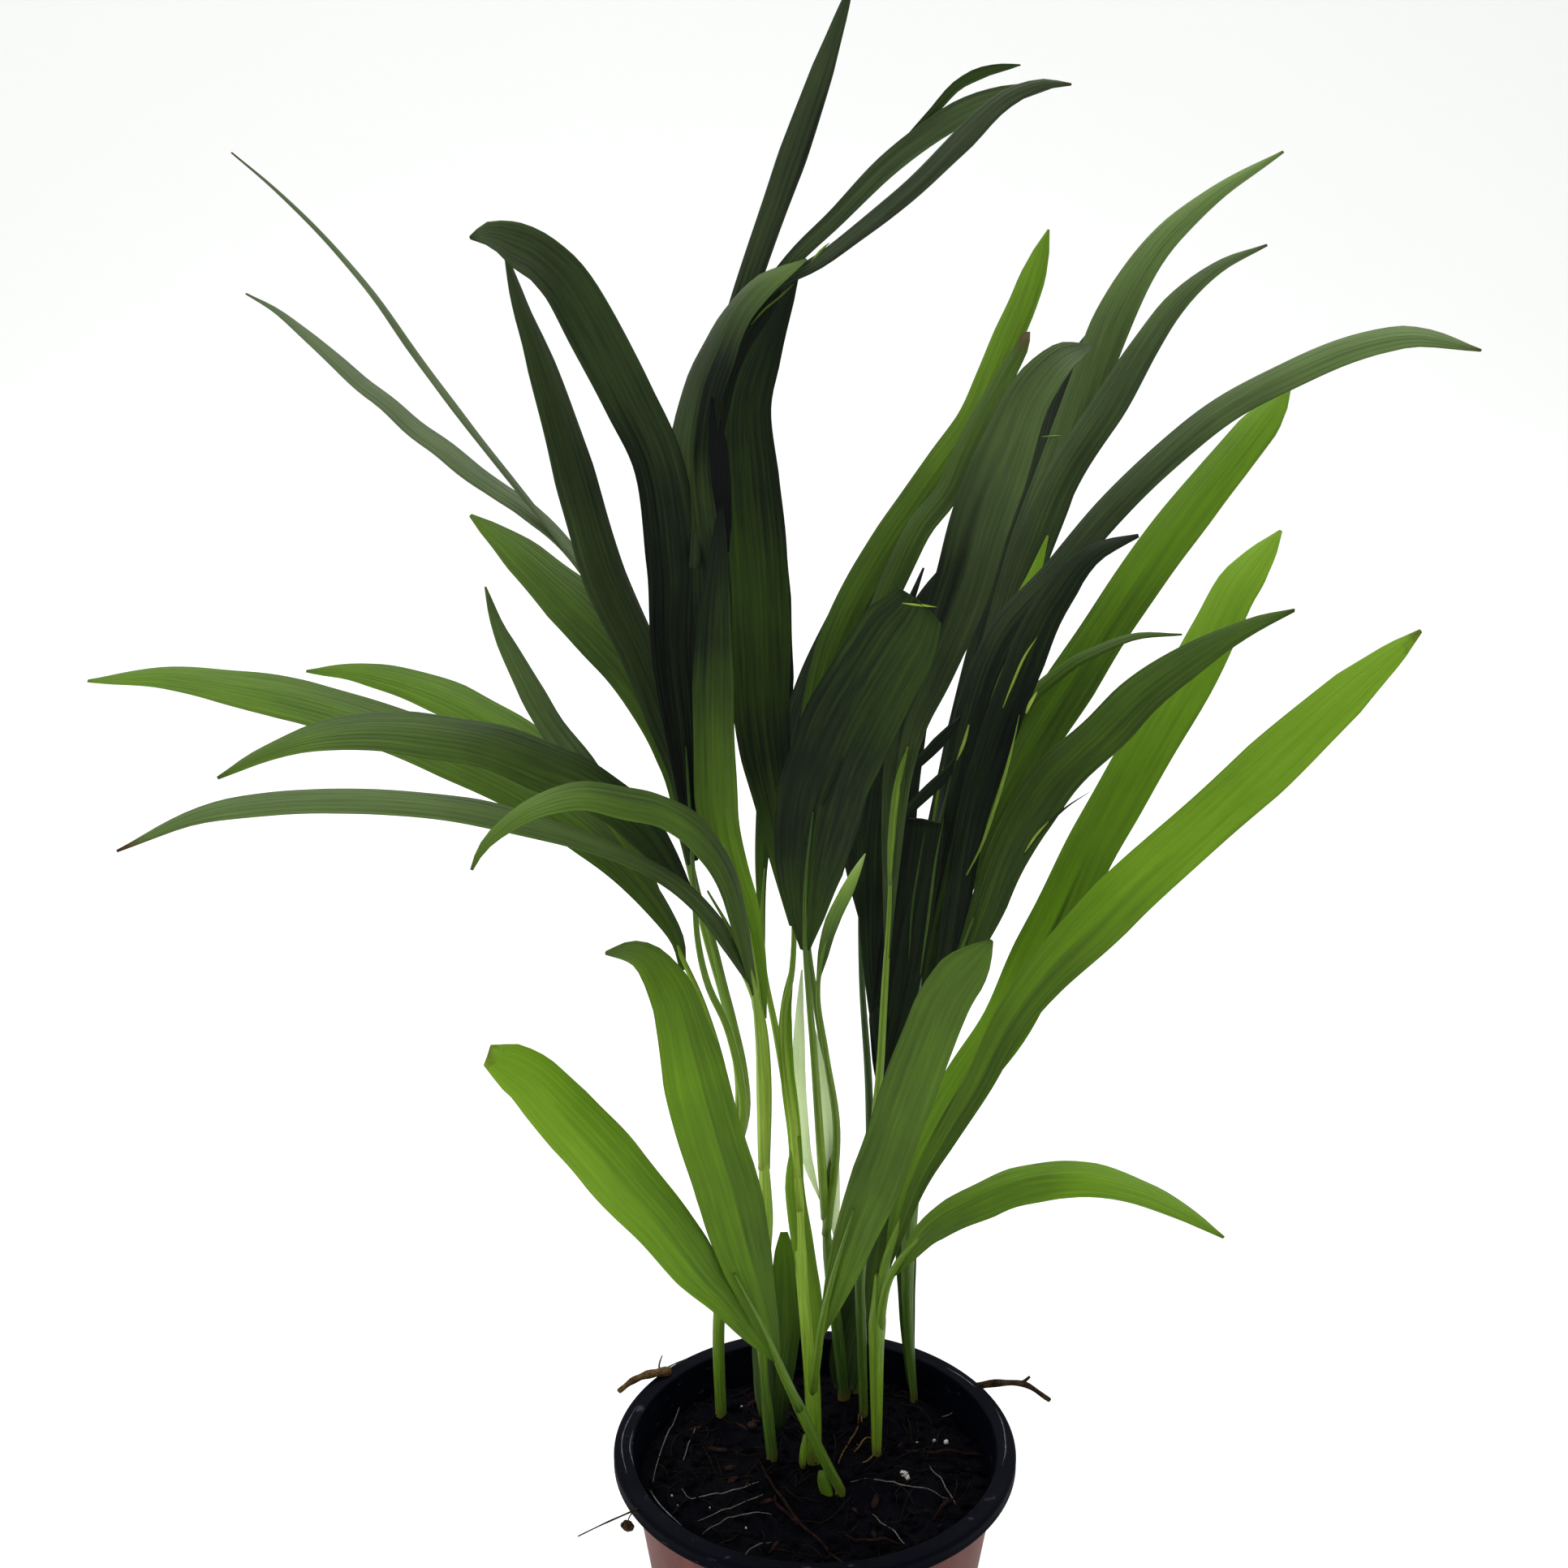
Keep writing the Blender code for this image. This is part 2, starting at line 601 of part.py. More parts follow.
def on_soil(px, py):
    """The point of the soil's surface that shows at this pixel."""
    ray = AHEAD + RIGHT * (px - CENTRE_PX) / FOCAL_PX + ABOVE * (CENTRE_PX - py) / FOCAL_PX
    return EYE + ray * (POT_HEIGHT - SOIL_BELOW_RIM - EYE[2]) / ray[2]


def unit(vectors):
    """Each row scaled to a length of one."""
    return vectors / np.linalg.norm(vectors, axis=-1, keepdims=True)


def flowing(points, step):
    """Points evenly spaced, about `step` apart, along a smooth curve through the given ones."""
    given = np.array(points)
    ends = np.vstack([2 * given[0] - given[1], given, 2 * given[-1] - given[-2]])
    share = np.linspace(0, 1, CURVE_SAMPLES, endpoint=False)[:, None]
    stretches = []
    for a, b, c, d in zip(ends, ends[1:], ends[2:], ends[3:]):
        curve = 2 * b + (c - a) * share
        curve += (2 * a - 5 * b + 4 * c - d) * share**2 + (3 * b - a - 3 * c + d) * share**3
        stretches.append(curve / 2)
    dense = np.vstack(stretches + [given[-1:]])
    along = np.append(0, np.cumsum(np.linalg.norm(np.diff(dense, axis=0), axis=1)))
    count = max(4, round(along[-1] / step)) + 1
    wanted = np.linspace(0, along[-1], count)
    return np.column_stack([np.interp(wanted, along, dense[:, axis]) for axis in range(3)])


def blade_frame(lobe, step):
    """A lobe's centre line, its direction across, its upward normal and its half width, row by row."""
    centre = flowing([seen(*spot) for spot in lobe.spine], step)
    ahead = unit(np.gradient(centre, axis=0))
    across = unit(np.cross(centre - EYE, ahead))
    behind = np.cross(ahead, across)
    turn = np.radians(np.linspace(*lobe.turn, len(centre)))[:, None]
    side = across * np.cos(turn) + behind * np.sin(turn)
    normal = np.cross(side, ahead)
    normal *= np.sign(normal[:, 2].sum())
    shares, widths = np.transpose(OUTLINES[lobe.outline])
    half = lobe.width * MM / 2 * np.interp(np.linspace(0, 1, len(centre)), shares, widths)
    return centre, side, normal, half[:, None]


def new_object(name, mesh, collection):
    """An object with this mesh, in this collection."""
    made = bpy.data.objects.new(name, mesh)
    collection.objects.link(made)
    return made


def blade(name, lobe, collection):
    """A strap leaf: a flat grid bent along its spine, low at both edges, with a thin wall."""
    centre, side, normal, half = blade_frame(lobe, ROW_LENGTH)
    rows = len(centre) - 1
    bm = bmesh.new()
    bmesh.ops.create_grid(bm, x_segments=2, y_segments=rows, size=1)
    for vertex in bm.verts:
        row = round((vertex.co.y + 1) / 2 * rows)
        u = vertex.co.x
        lift = 2 * (1 - abs(u)) * RIDGE
        vertex.co = centre[row] + half[row] * (u * side[row] + lift * normal[row])
    bmesh.ops.triangulate(bm, faces=bm.faces)
    mesh = bpy.data.meshes.new(name)
    bm.to_mesh(mesh)
    bm.free()
    made = new_object(name, mesh, collection)
    wall = made.modifiers.new("wall", "SOLIDIFY")
    wall.thickness = BLADE
    wall.offset = 0
    return made


def weld(mesh, within):
    """The mesh's points that lie this close made one."""
    bm = bmesh.new()
    bm.from_mesh(mesh)
    bmesh.ops.remove_doubles(bm, verts=bm.verts, dist=within)
    bm.to_mesh(mesh)
    bm.free()


def evaluated_mesh(thing):
    """A new mesh of the object as its modifiers leave it."""
    bpy.context.view_layer.update()
    graph = bpy.context.evaluated_depsgraph_get()
    return bpy.data.meshes.new_from_object(thing.evaluated_get(graph))


def tube(name, points, radii, collection):
    """A round stalk through the points, its radius running evenly from the first to the last."""
    curve = bpy.data.curves.new(name, "CURVE")
    curve.dimensions = "3D"
    curve.bevel_depth = MM
    curve.bevel_resolution = STALK_RESOLUTION
    curve.use_fill_caps = True
    spline = curve.splines.new("POLY")
    spline.points.add(len(points) - 1)
    for spot, point, radius in zip(spline.points, points, np.linspace(*radii, len(points))):
        spot.co = (*point, 1)
        spot.radius = radius / MM
    drawn = new_object(name, curve, collection)
    mesh = evaluated_mesh(drawn)
    bpy.data.objects.remove(drawn)
    weld(mesh, WELD)
    return new_object(name, mesh, collection)


def stem_points(seedling):
    """The stem from its root end, straight up out of the soil, and on through its read points."""
    foot = on_soil(*seedling.foot)
    root = foot - [0, 0, ROOT_DEPTH]
    collar = foot + [0, 0, COLLAR]
    above = flowing([collar] + [seen(*spot) for spot in seedling.stem], STALK_STEP)
    return np.vstack([root, above])


def material(name, colour, roughness):
    """A plain finish."""
    made = bpy.data.materials.new(name)
    made.use_nodes = True
    finish = made.node_tree.nodes["Principled BSDF"]
    finish.inputs["Base Color"].default_value = (*colour, 1)
    finish.inputs["Roughness"].default_value = roughness
    finish.inputs["Metallic"].default_value = 0
    return made


def join_collection(thing, others, operation):
    """The objects of a collection joined to this one, or cut from it, for good."""
    merge = thing.modifiers.new("join", "BOOLEAN")
    merge.operation = operation
    merge.operand_type = "COLLECTION"
    merge.collection = others
    merge.solver = "EXACT"
    whole = evaluated_mesh(thing)
    thing.modifiers.clear()
    thing.data = whole
    for other in list(others.objects):
        bpy.data.objects.remove(other)
    bpy.data.collections.remove(others)


def seedling_solid(name, seedling, parts, finish):
    """A stem with its stalks and lobes, as one solid."""
    stem_radii = [radius * MM for radius in seedling.radii]
    stem = tube(name, stem_points(seedling), stem_radii, parts)
    growth = bpy.data.collections.new(name + "_growth")
    bpy.context.scene.collection.children.link(growth)
    for number, frond in enumerate(seedling.fronds):
        stalk_line = flowing([seen(*spot) for spot in frond.stalk], STALK_STEP)
        tube(f"{name}_stalk_{number}", stalk_line, STALK_RADII, growth)
        for lobe_number, lobe in enumerate(frond.lobes):
            blade(f"{name}_lobe_{number}_{lobe_number}", lobe, growth)
    join_collection(stem, growth, "UNION")
    stem.data.materials.clear()
    stem.data.materials.append(finish)
    return stem


def turned(name, profile, collection):
    """A round body: its profile, listed so that it runs down its outer side, turned about Z."""
    mesh = bpy.data.meshes.new(name)
    edges = [(i, i + 1) for i in range(len(profile) - 1)]
    mesh.from_pydata([(radius, 0, height) for radius, height in profile], edges, [])
    made = new_object(name, mesh, collection)
    spin = made.modifiers.new("turn", "SCREW")
    spin.steps = POT_STEPS
    spin.render_steps = POT_STEPS
    spin.use_merge_vertices = True
    spin.merge_threshold = WELD
    made.data = evaluated_mesh(made)
    made.modifiers.clear()
    return made


def body_radius(height):
    """The pot's outer radius under its rim, at this height."""
    top = RIM_RADIUS - WALL - RIM_GAP
    return BASE_RADIUS + (top - BASE_RADIUS) * height / POT_HEIGHT


def cutter_cylinder(name, place, radius, low, high, cutters):
    """A round cutter from one height to another."""
    bm = bmesh.new()
    size = dict(radius1=radius, radius2=radius, depth=high - low)
    bmesh.ops.create_cone(bm, cap_ends=True, segments=HOLE_SIDES, **size)
    mesh = bpy.data.meshes.new(name)
    bm.to_mesh(mesh)
    bm.free()
    cutter = new_object(name, mesh, cutters)
    cutter.location = (place[0], place[1], (low + high) / 2)
    cutter.display_type = "WIRE"
    cutter.hide_render = True


def new_cutters(name):
    """A collection for cutters."""
    cutters = bpy.data.collections.new(name)
    bpy.context.scene.collection.children.link(cutters)
    return cutters


def pot(parts):
    """The pot: a tapered cup whose rim is rolled over into a short skirt."""
    rim_top = POT_HEIGHT
    inside = body_radius(POT_HEIGHT) - WALL
    skirt_foot = rim_top - RIM_SKIRT
    rounding = WALL / 2
    profile = [
        (0, FLOOR),
        (body_radius(FLOOR) - WALL, FLOOR),
        (inside, rim_top - rounding),
        (inside + rounding, rim_top),
        (RIM_RADIUS - 2 * rounding, rim_top),
        (RIM_RADIUS, rim_top - 2 * rounding),
        (RIM_RADIUS, skirt_foot),
        (RIM_RADIUS - WALL, skirt_foot),
        (RIM_RADIUS - WALL, rim_top - WALL),
        (body_radius(rim_top), rim_top - WALL),
        (BASE_RADIUS, BASE_ROUNDING),
        (BASE_RADIUS - BASE_ROUNDING, 0),
        (0, 0),
    ]
    made = turned("pot", profile, parts)
    cutters = new_cutters("pot_cutters")
    for number in range(DRAIN_HOLES):
        angle = math.tau * number / DRAIN_HOLES
        place = (DRAIN_RING * math.cos(angle), DRAIN_RING * math.sin(angle))
        cutter_cylinder(f"drain_{number}", place, DRAIN_RADIUS, -FLOOR, 2 * FLOOR, cutters)
    join_collection(made, cutters, "DIFFERENCE")
    made.data.materials.clear()
    made.data.materials.append(material("terracotta_plastic", TERRACOTTA, 0.5))


def soil(parts):
    """The soil: it fills the pot and has a plain hole for each stem."""
    top = POT_HEIGHT - SOIL_BELOW_RIM
    low = FLOOR + GAP
    edge = top - SOIL_EDGE_DIP
    profile = [
        (0, top),
        (body_radius(top) - WALL - SOIL_EDGE, top),
        (body_radius(edge) - WALL - GAP, edge),
        (body_radius(low) - WALL - GAP, low),
        (0, low),
    ]
    made = turned("soil", profile, parts)
    cutters = new_cutters("soil_cutters")
    for name, seedling in SEEDLINGS.items():
        radius = seedling.radii[0] * MM + GAP
        foot = on_soil(*seedling.foot)
        cutter_cylinder(f"{name}_hole", foot, radius, top - ROOT_DEPTH - GAP, top + GAP, cutters)
    join_collection(made, cutters, "DIFFERENCE")
    made.data.materials.clear()
    made.data.materials.append(material("dark_soil", SOIL_BLACK, 0.95))


def main():
    for thing in list(bpy.data.objects):
        bpy.data.objects.remove(thing)
    parts = bpy.data.collections.new("potted_areca_palm")
    bpy.context.scene.collection.children.link(parts)
    pot(parts)
    soil(parts)
    leaf = material("leaf_green", LEAF_GREEN, 0.4)
    for name, seedling in SEEDLINGS.items():
        seedling_solid(name, seedling, parts, leaf)


main()
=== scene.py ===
# %% [markdown]
# # A tuft of young areca palms in a nursery pot
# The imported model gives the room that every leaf, stem and the pot may take. This script puts finer
# surfaces in that room: pleated leaf blades, grooved stalks, a rolled pot rim and loose potting mix.

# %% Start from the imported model
from collections import namedtuple
import math

import bpy
import numpy as np
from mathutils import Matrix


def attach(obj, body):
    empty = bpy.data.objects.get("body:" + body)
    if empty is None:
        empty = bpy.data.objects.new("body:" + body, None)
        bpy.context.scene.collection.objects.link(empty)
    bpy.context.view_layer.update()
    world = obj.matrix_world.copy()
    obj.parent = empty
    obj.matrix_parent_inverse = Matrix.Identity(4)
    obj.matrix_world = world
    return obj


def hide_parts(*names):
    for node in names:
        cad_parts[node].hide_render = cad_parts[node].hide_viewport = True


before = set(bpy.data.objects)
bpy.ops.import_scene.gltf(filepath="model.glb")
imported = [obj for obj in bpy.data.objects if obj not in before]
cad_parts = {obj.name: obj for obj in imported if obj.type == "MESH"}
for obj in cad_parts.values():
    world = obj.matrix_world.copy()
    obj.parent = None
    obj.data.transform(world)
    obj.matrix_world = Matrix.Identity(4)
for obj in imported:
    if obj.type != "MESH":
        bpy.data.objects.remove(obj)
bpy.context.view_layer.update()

MM = 0.001
print("nodes of the packed model:", sorted(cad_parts))

# %% [markdown]
# ## The camera
# The plant was photographed from a little above and a short step away. The ellipse of the pot's round
# rim gives the tilt and the distance. A camera placed the same way lets every leaf be set by the spot
# where it shows, which is far quicker than guessing its bend in space.

# %% The camera
PICTURE_PX = 1932
FOCAL_PX = 2600
CENTRE_PX = 966
POT_HEIGHT = 105 * MM
LOOKS_DOWN = math.radians(18.4)
EYE = np.array([-9.2 * MM, -537 * MM, POT_HEIGHT + 386 * MM])
SENSOR_MM = 36

camera_data = bpy.data.cameras.new("camera")
camera_data.sensor_width = SENSOR_MM
camera_data.lens = SENSOR_MM * FOCAL_PX / PICTURE_PX
camera_data.dof.use_dof = False
camera = bpy.data.objects.new("camera", camera_data)
camera.location = EYE
camera.rotation_euler = (math.radians(90) - LOOKS_DOWN, 0, 0)
bpy.context.scene.collection.objects.link(camera)
bpy.context.scene.camera = camera
print(f"lens {camera_data.lens:.1f} mm, looking down {math.degrees(LOOKS_DOWN):.1f} degrees")

# %% [markdown]
# ## From a spot in the picture to a place in space
# A spot in the picture is a ray out of the camera. One more number, how far in front of the pot's
# middle the spot lies, picks the point on that ray. A root in the soil needs no such number, because
# the ray meets the soil's level.

# %% From picture to space
AHEAD = np.array([0, math.cos(LOOKS_DOWN), -math.sin(LOOKS_DOWN)])
ABOVE = np.array([0, math.sin(LOOKS_DOWN), math.cos(LOOKS_DOWN)])
RIGHT = np.array([1.0, 0, 0])
SOIL_TOP = POT_HEIGHT - 10 * MM


def rays(px, py):
    """Direction = ahead + right * (px - centre) / focal + above * (centre - py) / focal."""
    across = (np.asarray(px, float)[..., None] - CENTRE_PX) / FOCAL_PX
    upward = (CENTRE_PX - np.asarray(py, float)[..., None]) / FOCAL_PX
    return AHEAD + RIGHT * across + ABOVE * upward


def seen(spots):
    """Each (px, py, near): the eye + its ray, followed until it is `near` mm before the middle."""
    px, py, near = np.transpose(np.asarray(spots, float))
    way = rays(px, py)
    return EYE + way * ((-near * MM - EYE[1]) / way[:, 1])[:, None]


def at_height(spots, height):
    """Each (px, py): the eye + its ray, followed down to this height."""
    px, py = np.transpose(np.asarray(spots, float))
    way = rays(px, py)
    return EYE + way * ((height - EYE[2]) / way[:, 2])[:, None]


def unit(vectors):
    """Each row divided by its length."""
    return vectors / np.linalg.norm(vectors, axis=-1, keepdims=True)


def flowing(points, step):
    """Catmull-Rom curve through the points: between b and c, with a before and d after, it is
    half of 2b + (c-a)s + (2a-5b+4c-d)s^2 + (3b-a-3c+d)s^3, then cut into equal lengths."""
    given = np.asarray(points, float)
    ends = np.vstack([2 * given[0] - given[1], given, 2 * given[-1] - given[-2]])
    a, b, c, d = ends[:-3, None], ends[1:-2, None], ends[2:-1, None], ends[3:, None]
    s = np.linspace(0, 1, 24, endpoint=False)[None, :, None]
    curve = b + (c - a) * s / 2 + (2 * a - 5 * b + 4 * c - d) * s**2 / 2
    curve = curve + (3 * b - a - 3 * c + d) * s**3 / 2
    dense = np.vstack([curve.reshape(-1, given.shape[1]), given[-1:]])
    along = np.append(0, np.cumsum(np.linalg.norm(np.diff(dense, axis=0), axis=1)))
    wanted = np.linspace(0, along[-1], max(4, round(along[-1] / step)) + 1)
    return np.column_stack([np.interp(wanted, along, axis) for axis in dense.T])


print("the eye is", np.round(np.linalg.norm(EYE - [0, 0, SOIL_TOP]), 3), "m from the soil")

# %% [markdown]
# ## Every leaf, read from the picture
# A young areca palm makes leaves that are forked into two straps, later into a few more. Each seedling
# here is one shoot: where its foot enters the soil, its stem, and its fronds with their lobes. A lobe
# has a width in mm, a turn about its own spine in degrees, root to tip, the spots of its spine, and
# the name of its outline. A second table says how lit each lobe looks, from 0, deep shade, to 1,
# glowing, and past 1 where it is bleached.

# %% Every leaf
# The foot is (px, py) at the soil's top, other spots are (px, py, near), and the radii are the stem's,
# in mm, at its foot and its top
Seedling = namedtuple("Seedling", "foot radii stem fronds")
Frond = namedtuple("Frond", "stalk lobes")
Lobe = namedtuple("Lobe", "width turn spine outline", defaults=["pointed"])

# Half width of a lobe along its length, as shares of its greatest half width
OUTLINES = {
    "pointed": (
        (0, 0.12), (0.1, 0.42), (0.25, 0.8), (0.45, 1), (0.68, 0.95), (0.84, 0.66), (0.95, 0.3), (1, 0.07),
    ),
    "late": (
        (0, 0.12), (0.1, 0.42), (0.25, 0.8), (0.45, 1), (0.84, 0.97), (0.93, 0.84), (0.97, 0.5), (1, 0.07),
    ),
    "joined": (
        (0, 0.1), (0.15, 0.3), (0.35, 0.58), (0.58, 1), (0.76, 1), (0.88, 0.76), (0.95, 0.42), (1, 0.07),
    ),
    "blunt": (
        (0, 0.1), (0.1, 0.3), (0.2, 0.48), (0.36, 0.77), (0.58, 0.97), (0.8, 1), (0.9, 0.87), (0.96, 0.68),
        (1, 0.32),
    ),
    "folded": ((0, 0.12), (0.1, 0.42), (0.25, 0.8), (0.45, 1), (0.8, 1), (0.92, 0.92), (1, 0.6)),
    "spear": ((0, 0.4), (0.2, 0.6), (0.5, 0.85), (0.7, 1), (0.85, 0.8), (0.95, 0.4), (1, 0.1)),
    "based": (
        (0, 0.3), (0.06, 0.45), (0.25, 0.82), (0.45, 1), (0.68, 0.95), (0.84, 0.66), (0.95, 0.3),
        (1, 0.07),
    ),
    "early": (
        (0, 0.3), (0.05, 0.5), (0.12, 0.66), (0.22, 0.66), (0.35, 0.62), (0.58, 1), (0.76, 1),
        (0.88, 0.76), (0.95, 0.42), (1, 0.07),
    ),
    "cut": ((0, 0.12), (0.1, 0.42), (0.25, 0.8), (0.45, 1), (0.8, 1), (1, 0.95)),
    "long": (
        (0, 0.1), (0.15, 0.3), (0.35, 0.58), (0.58, 1), (0.8, 1), (0.91, 0.8), (0.97, 0.42), (1, 0.07),
    ),
    "sheath": ((0, 0.6), (0.15, 0.9), (0.5, 1), (0.78, 0.9), (0.92, 0.6), (1, 0.25)),
}

